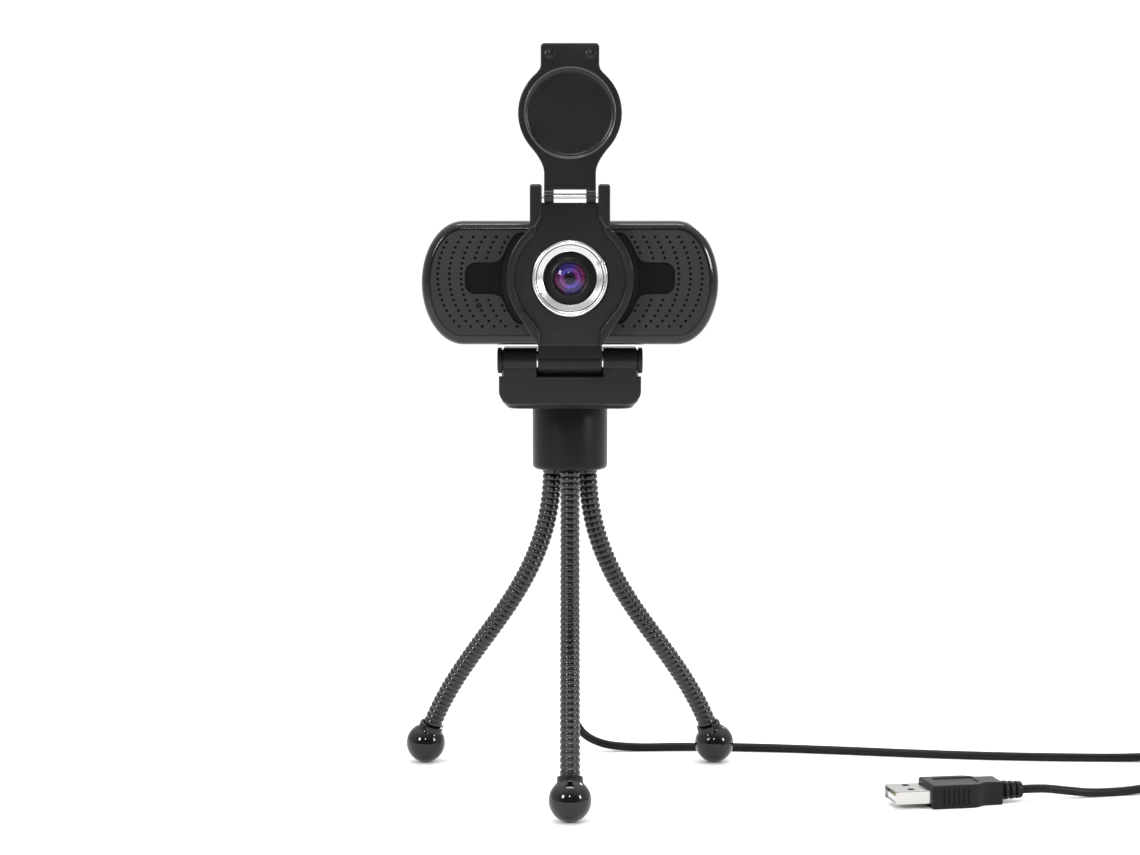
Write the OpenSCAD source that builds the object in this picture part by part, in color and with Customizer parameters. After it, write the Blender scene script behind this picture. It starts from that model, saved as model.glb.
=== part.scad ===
// Webcam with a folding clip, standing on a small tripod with three gooseneck legs.
// Millimetres. Z is up, Y runs from the front to the back, and X to the right as seen from the front.
// The floor is z = 0, and the origin is the middle of the footprint.

/* [Camera head] */
// Width of the camera head
head_w = 96; // [92:1:102]
// Height of the camera head
head_h = 40; // [39:0.5:42]
// Depth of the camera head from the face to the back
head_d = 27; // [26:0.5:30]
// Wall thickness of the two head shells
wall = 1.8; // [1.5:0.1:2]

/* [Lens] */
// Outside diameter of the bright lens ring
ring_d = 24.8; // [24:0.2:26]
// Inside diameter of the bright lens ring
ring_bore = 17; // [16.6:0.1:17.6]
// Diameter of the front glass
glass_d = 10.3; // [9.5:0.1:10.6]

/* [Privacy cover] */
// Diameter of the round lid
lid_d = 33; // [31:0.5:34]
// Thickness of the lid
lid_t = 3; // [2.6:0.1:3]
// Diameter of the cover's hinge pin
cover_pin_d = 1.6; // [1.4:0.1:1.8]

/* [Clip] */
// Width across the clip's tilt barrel, with its end caps
clip_w = 48; // [47:0.5:50]
// Depth of the clip's base block
clip_d = 48; // [46:1:50]
// Height of the clip's base block
clip_h = 13; // [12.5:0.5:14]
// Diameter of the tilt barrel
barrel_d = 8.6; // [8.4:0.1:8.8]
// Diameter of the fold hinge
fold_d = 7.8; // [7.4:0.1:7.8]
// Diameter of the steel pins in the two clip hinges
pin_d = 3; // [2.5:0.1:3.2]

/* [Tripod] */
// Diameter of the hub
hub_d = 25.7; // [25:0.1:28]
// Height of the hub
hub_h = 22; // [20:1:24]
// Height of the hub's underside above the floor
hub_up = 109; // [105:1:112]
// Diameter of a gooseneck leg
leg_d = 6.8; // [6:0.1:7]
// Diameter of a ball foot
foot_d = 14; // [13:0.5:15]
// Radius of the circle that the feet stand on
stance_r = 60; // [56:4:64]

/* [Lead] */
// Diameter of the lead
lead_d = 3; // [2.8:0.1:3]

/* [Hidden] */
$fn = 64;
gap = 0.35;           // running clearance between pieces that move past each other
fit = 0.05;           // radial clearance of a pin in its bore

// Places that the pieces share
stand_y = stance_r / 4;
clip_z = hub_up + hub_h;
base_front = stand_y - clip_d / 2;
base_back = stand_y + clip_d / 2;
base_w = 46;
base_corner = 7;
cover_plate_h = 2.4;
base_top = clip_z + clip_h;
fold_y = base_back + 4;
fold_z = base_top - 3.2;
tilt_y = base_front - 5;
tilt_z = base_top + 3.6;
face_y = tilt_y - 20;
back_y = face_y + head_d;
split_y = face_y + 12;
lens_z = tilt_z + 27.4;
head_z = lens_z - 1.5;
head_bottom = head_z - head_h / 2;

// Head outline: flat top and bottom, half-elliptic ends
end_a = 13.5;
end_x = head_w / 2 - end_a;
end_steps = 14;
face_rim = 3;
panel_t = 0.8;
face_recess = 2 * panel_t;

// Cover frame round the lens
frame_t = 2.4;
plate_y = face_y - frame_t;
rim_w = 2.3;
rim_up = 4.1;
rim_r = 20.3;
ear_x = 12.8;
ear_w = 3.8;
ear_top = 30;
plate_top = 24.2;
frame_foot_x = 10.2;
hinge_up = 26.25;
hinge_y = plate_y - 2.9;
hinge_z = lens_z + hinge_up;
lid_hub_r = 2.2;
neck_w = 16.5;
neck_window = 10.4;
tab_w = 18.6;
tab_reach = 22;

// Lens parts, as depths behind the front of the ring
ring_front = plate_y - 0.8;
ring_len = 4.2;
barrel_r = 7;
holder_y = face_y + 7;
board_y = face_y + 12.4;
board_t = 1.4;
board_w = 74;
board_h = 27;

// Fasteners
shell_screw_x = 41;
board_screw_x = 33;
board_screw_z = 10.5;
mic_x = -29.2;
mic_drop = 8.8;

// Clip arm
arm_w = 47;
arm_t = 4;
arm_z = base_top + 1.8;
neck_x = 21;
washer_t = 0.4;
cap_t = 2;
knuckle_x = clip_w / 2 - cap_t;
pad_t = 1.2;
lip_low = base_top - 11;
lip_corner = 4.5;
lug_in = 15.4;
lug_out = 21;

// Hub and legs
leg_r = leg_d / 2;
leg_ring_r = hub_d / 2 - 2.4 - leg_r;
core_r = 1.1;
foot_r = foot_d / 2;
leg_lean = 21;        // angle from upright at which a leg enters its foot
leg_seat = 2.5;       // how far short of the ball's centre a leg stops

// Lead: route points from the strain relief down to the coil, and from the coil to the plug
gland_x = 14;
gland_z = lens_z - 7;
gland_len = 10;
lead_r = lead_d / 2;
route = [
    [14, 3, 168], [14, 13, 168], [13, 23, 165], [11, 32, 159], [9, 39, 154.5], [6, 46, 152.5],
    [4, 52, 151], [2, 57, 146], [1, 59.5, 139], [0, 60, 130], [0, 60, 120], [0, 60, 110],
    [0, 60, 90], [0, 60, 70], [0, 60, 50], [0, 60, 32], [0.5, 60.5, 18], [4, 61.5, 8], [12, 62.5, 3],
    [24, 63, 1.5], [40, 63.5, 1.5], [60, 63, 1.5], [80, 60.5, 1.5], [100, 57, 1.5], [120, 53, 1.5],
    [140, 49.5, 1.5], [160, 47, 1.5], [180, 45.5, 1.5], [196, 45, 1.5], [211, 44.6, 1.9], [226, 44.5, 2.2]
];
upper_end = 5;
middle_end = 11;
tail = [
    [226, -4.5, 5.2], [212, -4.8, 4.6], [199, -6, 2.6], [187, -8, 1.5], [176, -10.5, 1.6],
    [167, -12.8, 2.8], [159, -14.6, 3.9], [151, -16, 4]
];
coil_x = 226;
coil_y = 20;
coil_in = 9.8;
coil_out = 26;
coil_low = 0.7;
coil_high = 6.8;
tie_t = 0.6;
tie_w = 6;
tie_in = coil_in - 0.6;
plug_x = 151;
plug_y = -16;
plug_z = 4;
plug_turn = 190;      // heading of the plug, from its lead to its tip
relief_len = 8;
plug_len = 25.3;
plug_w = 15;
plug_h = 8;
shell_len = 12.2;
shell_w = 12;
shell_h = 4.5;

// ---- helpers ----

function unit(v) = v / norm(v);

// Outline of the head in X and Z, moved in by an inset
function head_outline(inset) = [
    for (side = [1, -1])
        for (i = [0:end_steps])
            let (a = side * (90 - 180 * i / end_steps))
                [side * (end_x + (end_a - inset) * cos(a)), (head_h / 2 - inset) * sin(a)]
];

// A solid lofted through head outlines, given as pairs of [y, inset]
module head_loft(sections) {
    n = 2 * (end_steps + 1);
    m = len(sections);
    points = [
        for (s = sections)
            for (p = head_outline(s[1]))
                [p[0], s[0], head_z + p[1]]
    ];
    sides = [
        for (j = [0:m - 2])
            for (i = [0:n - 1])
                for (tri = [[n + 1, 1, 0], [n, n + 1, 0]])
                    [for (k = tri) (j + floor(k / n)) * n + (i + k % n) % n]
    ];
    front = [[for (i = [0:n - 1]) i]];
    back = [[for (i = [0:n - 1]) m * n - 1 - i]];
    polyhedron(points, concat(front, sides, back), convexity = 4);
}

// Extrudes an X-Z outline towards +Y, from y to y + t
module slab_y(y, t) {
    translate([0, y + t, 0])
        rotate([90, 0, 0])
            linear_extrude(t)
                children();
}

// A cylinder along Y from y to y + t
module rod_y(x, y, z, r, t) {
    translate([x, y, z])
        rotate([-90, 0, 0])
            cylinder(r = r, h = t);
}

// A cylinder along X between two X values
module rod_x(x0, x1, y, z, r) {
    translate([x0, y, z])
        rotate([0, 90, 0])
            cylinder(r = r, h = x1 - x0);
}

// A body of revolution about the lens axis; its profile is [radius, depth behind the ring's front]
module lens_turned(profile) {
    translate([0, ring_front, lens_z])
        rotate([-90, 0, 0])
            rotate_extrude()
                polygon(profile);
}

// A rounded rectangle about the origin
module round_rect(w, h, r) {
    for (sx = [-1, 1])
        for (sz = [-1, 1])
            translate([sx * (w / 2 - r), sz * (h / 2 - r)])
                circle(r);
    square([w - 2 * r, h], center = true);
    square([w, h - 2 * r], center = true);
}

// Catmull-Rom curve through a list of points, n steps between neighbours
function curve_point(p, i, t) =
    let (a = p[max(i - 1, 0)], b = p[i], c = p[i + 1], d = p[min(i + 2, len(p) - 1)])
        0.5 * (2 * b + (c - a) * t + (2 * a - 5 * b + 4 * c - d) * t * t
            + (3 * b - a - 3 * c + d) * t * t * t);
function curve(p, n) = [
    for (i = [0:len(p) - 2])
        for (k = [0:n - 1])
            curve_point(p, i, k / n),
    p[len(p) - 1]
];
function directions(p) = [
    for (i = [0:len(p) - 1])
        unit(p[min(i + 1, len(p) - 1)] - p[max(i - 1, 0)])
];

// Cross directions carried along a path without twisting
function carried(dirs, i, n) =
    let (flat = unit(n - (n * dirs[i]) * dirs[i]))
        i == len(dirs) - 1 ? [flat] : concat([flat], carried(dirs, i + 1, flat));

// A tube along a path, with a radius at each of its points
module tube(path, dirs, radii, sides) {
    across = carried(dirs, 0, abs(dirs[0][0]) < 0.8 ? [1, 0, 0] : [0, 0, 1]);
    m = len(path);
    points = [
        for (j = [0:m - 1])
            for (i = [0:sides - 1])
                let (a = 360 * i / sides, up = cross(dirs[j], across[j]))
                    path[j] + radii[j] * (cos(a) * across[j] + sin(a) * up)
    ];
    walls = [
        for (j = [0:m - 2])
            for (i = [0:sides - 1])
                [j * sides + i, (j + 1) * sides + i, (j + 1) * sides + (i + 1) % sides,
                    j * sides + (i + 1) % sides]
    ];
    start = [[for (i = [0:sides - 1]) i]];
    end = [[for (i = [0:sides - 1]) (m - 1) * sides + sides - 1 - i]];
    polyhedron(points, concat(start, walls, end), convexity = 8);
}

// ---- camera head ----

front_sections = [[face_y, 2.4], [face_y + 0.8, 1.1], [face_y + 2, 0.3], [face_y + 3.5, 0], [split_y, 0]];
rear_sections = [
    [split_y, 0], [back_y - 7, 0.2], [back_y - 4, 1.2], [back_y - 2, 2.8], [back_y - 0.7, 5.2], [back_y, 8.5]
];

module front_shell() {
    color("#1c1c1e")
        difference() {
            union() {
                difference() {
                    head_loft(front_sections);
                    slab_y(face_y - 1, face_recess + 1)
                        translate([0, head_z])
                            polygon(head_outline(face_rim));
                    slab_y(face_y + face_recess + wall, split_y - face_y)
                        translate([0, head_z])
                            polygon(head_outline(wall + 0.4));
                }
                for (sx = [-1, 1])
                    rod_y(sx * shell_screw_x, face_y + 3, head_z, 3, split_y - face_y - 3);
                for (sx = [-1, 1])
                    for (sz = [-1, 1])
                        rod_y(sx * board_screw_x, face_y + 3, head_z + sz * board_screw_z, 2.2,
                            board_y - face_y - 3.05);
            }
            rod_y(0, face_y - 1, lens_z, ring_d / 2 + 0.1, 12);
            for (sx = [-1, 1])
                rod_y(sx * shell_screw_x, face_y + 4.5, head_z, 1.3, 12);
            for (sx = [-1, 1])
                for (sz = [-1, 1])
                    rod_y(sx * board_screw_x, face_y + 5, head_z + sz * board_screw_z, 0.95, 12);
            rod_y(mic_x, face_y, lens_z - mic_drop, 1, 5);
        }
}

module rear_shell() {
    hollow = [[7, wall + 0.6], [4, wall + 2.6], [wall, wall + 6.4]];
    color("#1c1c1e")
        difference() {
            union() {
                difference() {
                    head_loft(rear_sections);
                    for (step = hollow)
                        slab_y(split_y - 1, head_d - 11 - step[0])
                            translate([0, head_z])
                                polygon(head_outline(step[1]));
                }
                for (sx = [-1, 1])
                    rod_y(sx * shell_screw_x, split_y + 0.1, head_z, 3, 12);
            }
            for (sx = [-1, 1]) {
                rod_y(sx * shell_screw_x, split_y - 1, head_z, 1.6, 16);
                rod_y(sx * shell_screw_x, split_y + 5, head_z, 2.4, 12);
            }
            rod_y(gland_x, back_y - 5, gland_z, 2.6, 6);
        }
}

module face_trim() {
    color("#141416")
        slab_y(face_y + panel_t, panel_t)
            difference() {
                translate([0, head_z])
                    polygon(head_outline(face_rim + 0.05));
                translate([0, lens_z])
                    circle(ring_d / 2 + 0.1);
                translate([mic_x, lens_z - mic_drop])
                    circle(1);
            }
}

module face_panel() {
    color("#3b3b3d")
        slab_y(face_y, panel_t - 0.02)
            difference() {
                translate([0, head_z])
                    polygon(head_outline(face_rim + 0.05));
                translate([0, lens_z])
                    round_rect(67.6, 10.2, 3.4);
                translate([0, lens_z])
                    intersection() {
                        circle(24);
                        square([60, 29.2], center = true);
                    }
                translate([mic_x, lens_z - mic_drop])
                    circle(1);
            }
}

// Right half of the cover frame's outline, from the bottom up, moved in by an inset
function frame_side(inset, top) = concat(
    [[frame_foot_x - inset, head_bottom - lens_z]],
    [
        for (i = [0:10])
            let (a = -32 + 8.3 * i)
                [(rim_r - inset) * cos(a), (rim_r - inset) * sin(a)]
    ],
    [[ear_x - inset, rim_r * sin(51) + 2], [ear_x - inset, top]]
);
function mirrored(side) = concat(side, [for (i = [len(side) - 1:-1:0]) [-side[i][0], side[i][1]]]);

module cover_frame() {
    color("#2c2c2e")
        difference() {
            union() {
                slab_y(plate_y, frame_t - 0.02)
                    translate([0, lens_z])
                        polygon(mirrored(frame_side(0, plate_top)));
                slab_y(plate_y - rim_up, rim_up + frame_t - 0.02)
                    translate([0, lens_z])
                        difference() {
                            polygon(mirrored(frame_side(0, 21)));
                            polygon(mirrored(frame_side(rim_w, 40)));
                            translate([-20, -40])
                                square([40, 40 + head_bottom - lens_z]);
                        }
                for (sx = [-1, 1]) {
                    translate([sx * (ear_x - ear_w / 2) - ear_w / 2, hinge_y - 2.7, lens_z + 16])
                        cube([ear_w, 7.5, ear_top - 16]);
                    rod_x(sx * (ear_x - ear_w / 2) - ear_w / 2, sx * (ear_x - ear_w / 2) + ear_w / 2,
                        hinge_y, hinge_z, 2.7);
                }
            }
            rod_y(0, plate_y - 1, lens_z, ring_d / 2 + 0.05, 6);
            rod_x(-ear_x + 1.2, ear_x - 1.2, hinge_y, hinge_z, cover_pin_d / 2 + 0.01);
            translate([-tab_w / 2 - 0.4, plate_y - rim_up - 1, lens_z - tab_reach - 1])
                cube([tab_w + 0.8, rim_up + 0.2, 7]);
        }
}

module cover_pin() {
    color("#8a8a8c")
        rod_x(-ear_x + 1.3, ear_x - 1.3, hinge_y, hinge_z, cover_pin_d / 2);
}

module privacy_cover() {
    lid_z = hinge_z + hinge_up;
    lid_front = hinge_y - lid_t / 2;
    color("#262628")
        difference() {
            union() {
                rod_y(0, lid_front, lid_z, lid_d / 2, lid_t);
                translate([-neck_w / 2, lid_front, hinge_z])
                    cube([neck_w, lid_t, hinge_up - 8]);
                rod_x(-neck_w / 2, neck_w / 2, hinge_y, hinge_z, lid_hub_r);
                translate([-tab_w / 2, lid_front, lid_z + 8])
                    cube([tab_w, lid_t, tab_reach - 8]);
            }
            rod_x(-neck_w, neck_w, hinge_y, hinge_z, cover_pin_d / 2 + fit);
            rod_y(0, lid_front - 1, lid_z, 14, 1.6);
            translate([-neck_window / 2, lid_front - 1, hinge_z - 3])
                cube([neck_window, lid_t + 2, 5]);
        }
    color("#262628")
        for (sx = [-1, 1])
            rod_y(sx * 6.5, lid_front - 0.35, lid_z + 18.6, 1.6, 0.6);
}

module lens_ring() {
    r = ring_d / 2;
    q = ring_bore / 2;
    color("#c9c9cb")
        lens_turned([[r - 0.6, 0], [r, 0.5], [r, ring_len], [q, ring_len], [q, 2.8], [r - 1.4, 0.4]]);
}

module lens_barrel() {
    g = glass_d / 2;
    q = ring_bore / 2 - 0.05;
    color("#0e0e10")
        lens_turned([
            [g + 0.05, 1.8], [g + 0.9, 1.4], [g + 0.95, 2.6], [q - 0.9, 2.6], [q, 3.2], [q, 5.2],
            [barrel_r, 5.2], [barrel_r, 13.6], [3.4, 13.6], [3.4, 5.6], [g + 0.05, 5.6]
        ]);
}

module lens_glass() {
    g = glass_d / 2;
    dome = [for (i = [0:8]) [g * i / 8, 2 + 1.1 * pow(i / 8, 2)]];
    color("#3a2c66")
        lens_turned(concat(dome, [[g, 5.5], [0, 5.5]]));
}

module lens_rear_element() {
    bulge = [for (i = [0:6]) [3.3 * i / 6, 8 + 0.5 * pow(i / 6, 2)]];
    color("#51407a")
        lens_turned(concat(bulge, [[3.3, 10.5], [0, 10.5]]));
}

module lens_holder() {
    color("#1a1a1a")
        difference() {
            translate([-9, holder_y, lens_z - 9])
                cube([18, board_y - holder_y, 18]);
            rod_y(0, holder_y - 1, lens_z, barrel_r + fit, 4.5);
            rod_y(0, holder_y - 1, lens_z, 5, 12);
        }
}

module image_sensor() {
    color("#3c4a3c")
        translate([-3.5, board_y - 0.9, lens_z - 3])
            cube([7, 0.9, 6]);
}

module main_board() {
    color("#1f5a36")
        difference() {
            translate([-board_w / 2, board_y, head_z - board_h / 2])
                cube([board_w, board_t, board_h]);
            for (sx = [-1, 1])
                for (sz = [-1, 1])
                    rod_y(sx * board_screw_x, board_y - 1, head_z + sz * board_screw_z, 1.1, 4);
        }
}

module board_screws() {
    color("#b9bbbd")
        for (sx = [-1, 1])
            for (sz = [-1, 1]) {
                rod_y(sx * board_screw_x, face_y + 6, head_z + sz * board_screw_z, 0.9,
                    board_y + board_t - face_y - 6);
                rod_y(sx * board_screw_x, board_y + board_t, head_z + sz * board_screw_z, 1.9, 1.2);
            }
}

module shell_screws() {
    color("#8f9194")
        for (sx = [-1, 1]) {
            rod_y(sx * shell_screw_x, face_y + 5.5, head_z, 1.25, split_y + 5 - face_y - 5.5);
            rod_y(sx * shell_screw_x, split_y + 5, head_z, 2.3, 1.6);
        }
}

module microphone() {
    color("#a8a9ab")
        rod_y(mic_x, face_y + face_recess + wall + 0.05, lens_z - mic_drop, 2.1, 1.6);
}

module lead_socket() {
    color("#e8e4d8")
        translate([gland_x - 4, board_y + board_t, gland_z - 2.5])
            cube([8, 4.5, 5]);
}

module head_neck() {
    r = barrel_d / 2 + 0.1;
    color("#242426")
        difference() {
            union() {
                rod_x(-neck_x / 2, neck_x / 2, tilt_y, tilt_z, r);
                translate([-neck_x / 2, tilt_y - r, tilt_z])
                    cube([neck_x, 2 * r, head_bottom - tilt_z]);
            }
            rod_x(-neck_x, neck_x, tilt_y, tilt_z, pin_d / 2 + fit);
        }
}

module cable_gland() {
    color("#1a1a1a")
        translate([gland_x, back_y, gland_z])
            rotate([-90, 0, 0])
                rotate_extrude()
                    polygon([
                        [0, -3], [2.5, -3], [2.5, 0.05], [3.6, 0.05], [3.3, 3.5], [2.4, gland_len], [0, gland_len]
                    ]);
}

// ---- clip ----

module clip_arm() {
    r = barrel_d / 2;
    half = arm_w / 2;
    knuckle_in = neck_x / 2 + washer_t + 0.1;
    color("#2a2a2c")
        difference() {
            union() {
                for (sx = [-1, 1]) {
                    rod_x(min(sx * knuckle_in, sx * knuckle_x), max(sx * knuckle_in, sx * knuckle_x),
                        tilt_y, tilt_z, r);
                    translate([sx > 0 ? knuckle_in : -knuckle_x, tilt_y - 3.6, tilt_z - 6])
                        cube([knuckle_x - knuckle_in, 7, 6]);
                    translate([sx > 0 ? knuckle_in : -knuckle_x, tilt_y, arm_z])
                        cube([knuckle_x - knuckle_in, 8, arm_t]);
                }
                translate([-half, tilt_y + r + 1.2, arm_z])
                    cube([arm_w, fold_y + 4 - tilt_y - r - 1.2, arm_t]);
                slab_y(tilt_y - 3.6, 3.6)
                    intersection() {
                        translate([0, lip_low + 10])
                            round_rect(arm_w, 20, lip_corner);
                        translate([-half, lip_low])
                            square([arm_w, tilt_z - r - 0.9 - lip_low]);
                    }
                rod_x(-lug_in + gap, lug_in - gap, fold_y, fold_z, fold_d / 2);
                translate([-lug_in + gap, fold_y - 1.2, fold_z])
                    cube([2 * (lug_in - gap), 5.2, arm_z + 1 - fold_z]);
            }
            rod_x(-clip_w, clip_w, tilt_y, tilt_z, pin_d / 2 + 0.01);
            rod_x(-clip_w, clip_w, fold_y, fold_z, pin_d / 2 + fit);
            translate([-half + 4, tilt_y + 14, arm_z - 1])
                cube([arm_w - 8, 36, 1.8]);
        }
}

module arm_pad() {
    color("#1d1d1f")
        translate([-arm_w / 2 + 4.05, tilt_y + 14.05, arm_z - 0.2])
            cube([arm_w - 8.1, 35.9, 0.98]);
}

module tilt_pin() {
    color("#b4b6b8")
        rod_x(-knuckle_x - 0.8, knuckle_x + 0.8, tilt_y, tilt_z, pin_d / 2);
}

module tilt_caps() {
    r = barrel_d / 2;
    color("#1b1b1d")
        difference() {
            for (sx = [-1, 1])
                translate([sx * knuckle_x, tilt_y, tilt_z])
                    rotate([0, sx * 90, 0])
                        rotate_extrude()
                            polygon([[0, 0.02], [r - 0.7, 0.02], [r - 0.7, 0.5], [r, 0.5], [r, 1.6], [r - 0.4, 2], [0, 2]]);
            rod_x(-knuckle_x - 0.9, knuckle_x + 0.9, tilt_y, tilt_z, pin_d / 2 + 0.01);
        }
}

module tilt_washers() {
    color("#c2c2c4")
        for (sx = [-1, 1])
            translate([sx > 0 ? neck_x / 2 + 0.06 : -neck_x / 2 - 0.06 - washer_t, tilt_y, tilt_z])
                rotate([0, 90, 0])
                    difference() {
                        cylinder(r = 3.4, h = washer_t);
                        translate([0, 0, -1])
                            cylinder(r = pin_d / 2 + fit, h = 3);
                    }
}

// Plan outline of the base block: square at the back, rounded at the front corners, with an inset
function base_outline(inset) = concat(
    [[base_w / 2 - inset, clip_d / 2 - inset], [-base_w / 2 + inset, clip_d / 2 - inset]],
    [
        for (side = [-1, 1])
            for (i = [0:8])
                let (a = side < 0 ? 180 + 90 * i / 8 : 270 + 90 * i / 8)
                    [side * (base_w / 2 - base_corner) + (base_corner - inset) * cos(a),
                        -clip_d / 2 + base_corner + (base_corner - inset) * sin(a)]
    ]
);

module base_slab(z, t, inset) {
    translate([0, stand_y, z])
        linear_extrude(t)
            polygon(base_outline(inset));
}

module clip_base() {
    color("#3a3a3c")
        difference() {
            union() {
                difference() {
                    base_slab(clip_z + cover_plate_h, clip_h - cover_plate_h, 0);
                    base_slab(clip_z, clip_h - 2.2, 2);
                }
                for (sx = [-1, 1])
                    for (sy = [-1, 1])
                        translate([sx * 16, stand_y + sy * 16, clip_z + cover_plate_h + 0.05])
                            cylinder(r = 2.6, h = clip_h - 4);
                for (sx = [-1, 1]) {
                    lug_x = sx > 0 ? lug_in : -lug_out;
                    rod_x(lug_x, lug_x + lug_out - lug_in, fold_y, fold_z, fold_d / 2);
                    translate([lug_x, base_back - 1, fold_z - fold_d / 2])
                        cube([lug_out - lug_in, fold_y - base_back + 1, fold_d / 2 + 2.4]);
                }
            }
            rod_x(-clip_w, clip_w, fold_y, fold_z, pin_d / 2 + 0.01);
            for (sx = [-1, 1])
                for (sy = [-1, 1])
                    translate([sx * 16, stand_y + sy * 16, clip_z])
                        cylinder(r = 1.05, h = clip_h - 4);
        }
}

module base_pad() {
    color("#202022")
        base_slab(base_top, pad_t, 1.6);
}

module base_cover() {
    color("#141415")
        difference() {
            hull() {
                base_slab(clip_z, 0.1, 2.2);
                base_slab(clip_z + cover_plate_h - 0.2, 0.2, 0);
            }
            translate([0, stand_y, clip_z - 1])
                cylinder(r = 5.05, h = 6);
            for (sx = [-1, 1])
                for (sy = [-1, 1])
                    translate([sx * 16, stand_y + sy * 16, clip_z - 1]) {
                        cylinder(r = 1.2, h = 6);
                        cylinder(r = 2.1, h = 2);
                    }
        }
}

module base_screws() {
    color("#9a9c9f")
        for (sx = [-1, 1])
            for (sy = [-1, 1])
                translate([sx * 16, stand_y + sy * 16, clip_z + 0.1]) {
                    cylinder(r = 1, h = 7);
                    cylinder(r = 2, h = 0.9);
                }
}

module thread_insert() {
    color("#b08d4c")
        translate([0, stand_y, clip_z])
            difference() {
                cylinder(r = 5, h = 9);
                translate([0, 0, -1])
                    cylinder(d = 6.5, h = 12);
            }
}

module fold_pin() {
    color("#b4b6b8")
        rod_x(-lug_out - 0.8, lug_out + 0.8, fold_y, fold_z, pin_d / 2);
}

module fold_caps() {
    color("#3f3f44")
        difference() {
            for (sx = [-1, 1])
                translate([sx * lug_out, fold_y, fold_z])
                    rotate([0, sx * 90, 0])
                        rotate_extrude()
                            polygon([[0, 0.02], [fold_d / 2, 0.02], [fold_d / 2, 1.3], [fold_d / 2 - 0.4, 1.7], [0, 1.7]]);
            rod_x(-lug_out - 0.9, lug_out + 0.9, fold_y, fold_z, pin_d / 2 + 0.01);
        }
}

// ---- tripod ----

module hub_shell() {
    r = hub_d / 2;
    round = [for (i = [0:5]) [r - 1.8 + 1.8 * sin(18 * i), 1.8 - 1.8 * cos(18 * i)]];
    color("#1f1f21")
        translate([0, stand_y, hub_up])
            rotate_extrude()
                polygon(concat(round, [
                    [r, hub_h - 0.5], [r - 0.5, hub_h - 0.02], [3.2, hub_h - 0.02], [3.2, hub_h - 3],
                    [r - 2.2, hub_h - 3], [r - 2.2, 0]
                ]));
}

module tripod_screw() {
    color("#b9bbbd")
        translate([0, stand_y, 0]) {
            translate([0, 0, clip_z - 6.6])
                cylinder(r = 6, h = 3.55);
            translate([0, 0, clip_z - 3.1])
                cylinder(d = 6.3, h = 10.6);
        }
}

module hub_plate() {
    color("#18181a")
        difference() {
            translate([0, stand_y, hub_up + 0.1])
                cylinder(r = hub_d / 2 - 2.25, h = 5);
            for (i = [0:2])
                translate([0, stand_y, hub_up])
                    rotate([0, 0, 120 * i - 90])
                        translate([leg_ring_r, 0, -1]) {
                            cylinder(r = leg_r + gap, h = 4.9);
                            cylinder(r = core_r + 1.2, h = 9);
                        }
            translate([0, stand_y, hub_up - 1])
                cylinder(r = 1.35, h = 8);
        }
}

module hub_plate_screw() {
    color("#8f9194")
        translate([0, stand_y, hub_up - 0.6]) {
            cylinder(r = 2.4, h = 0.68);
            cylinder(r = 1.3, h = 6.5);
        }
}

// A leg's centre line: a cubic curve from the hub down and out to its foot, as [radius, z]
foot_at = [stance_r, foot_r];
leg_end = foot_at - leg_seat * [sin(leg_lean), -cos(leg_lean)];
leg_pull = leg_end - 40 * [sin(leg_lean), -cos(leg_lean)];
leg_root = [leg_ring_r, hub_up];
leg_steps = 18;
function leg_point(t) =
    pow(1 - t, 3) * leg_root
    + 3 * t * pow(1 - t, 2) * (leg_root - [0, 45])
    + 3 * t * t * (1 - t) * leg_pull
    + pow(t, 3) * leg_end;
function on_leg(p) = [p[0], 0, p[1]];
leg_path = [for (i = [0:leg_steps]) on_leg(leg_point(i / leg_steps))];
leg_dirs = concat(
    [[0, 0, -1]],
    [for (i = [1:leg_steps - 1]) unit(leg_path[i + 1] - leg_path[i - 1])],
    [[sin(leg_lean), 0, -cos(leg_lean)]]
);

// Puts a leg's own parts round the hub: 0 is the front leg
module on_hub(i) {
    translate([0, stand_y, 0])
        rotate([0, 0, 120 * i - 90])
            children();
}

module gooseneck() {
    dome = [for (i = [0:2]) 84 - 28 * i];
    top = [for (a = dome) leg_path[0] + [0, 0, leg_r * sin(a)]];
    top_r = [for (a = dome) leg_r * cos(a)];
    down = [for (a = dome) [0, 0, -1]];
    body_r = [for (p = leg_path) leg_r];
    color("#19191b")
        difference() {
            tube(concat(top, leg_path), concat(down, leg_dirs), concat(top_r, body_r), 14);
            tube(concat([top[0] + [0, 0, 1]], leg_path, [leg_path[leg_steps] + leg_dirs[leg_steps]]),
                concat([down[0]], leg_dirs, [leg_dirs[leg_steps]]),
                [for (i = [0:leg_steps + 2]) core_r + 0.12], 8);
        }
}

module leg_core() {
    color("#85878a")
        tube(concat([leg_path[0] + [0, 0, leg_r - 1]], leg_path), concat([[0, 0, -1]], leg_dirs),
            [for (i = [0:leg_steps + 1]) core_r], 8);
}

module ball_foot() {
    color("#121214")
        translate([stance_r, 0, foot_r])
            difference() {
                sphere(r = foot_r, $fn = 48);
                rotate([0, -leg_lean, 0])
                    translate([0, 0, leg_seat - 0.02])
                        cylinder(r = leg_r + 0.02, h = foot_r);
            }
}

module leg_front() { on_hub(0) gooseneck(); }
module leg_right() { on_hub(1) gooseneck(); }
module leg_left() { on_hub(2) gooseneck(); }
module leg_core_front() { on_hub(0) leg_core(); }
module leg_core_right() { on_hub(1) leg_core(); }
module leg_core_left() { on_hub(2) leg_core(); }
module foot_front() { on_hub(0) ball_foot(); }
module foot_right() { on_hub(1) ball_foot(); }
module foot_left() { on_hub(2) ball_foot(); }

// ---- lead ----

ring_steps = 2;
lead_path = curve(route, ring_steps);
lead_dirs = directions(lead_path);
tail_path = curve(tail, ring_steps);
tail_dirs = directions(tail_path);

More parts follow.
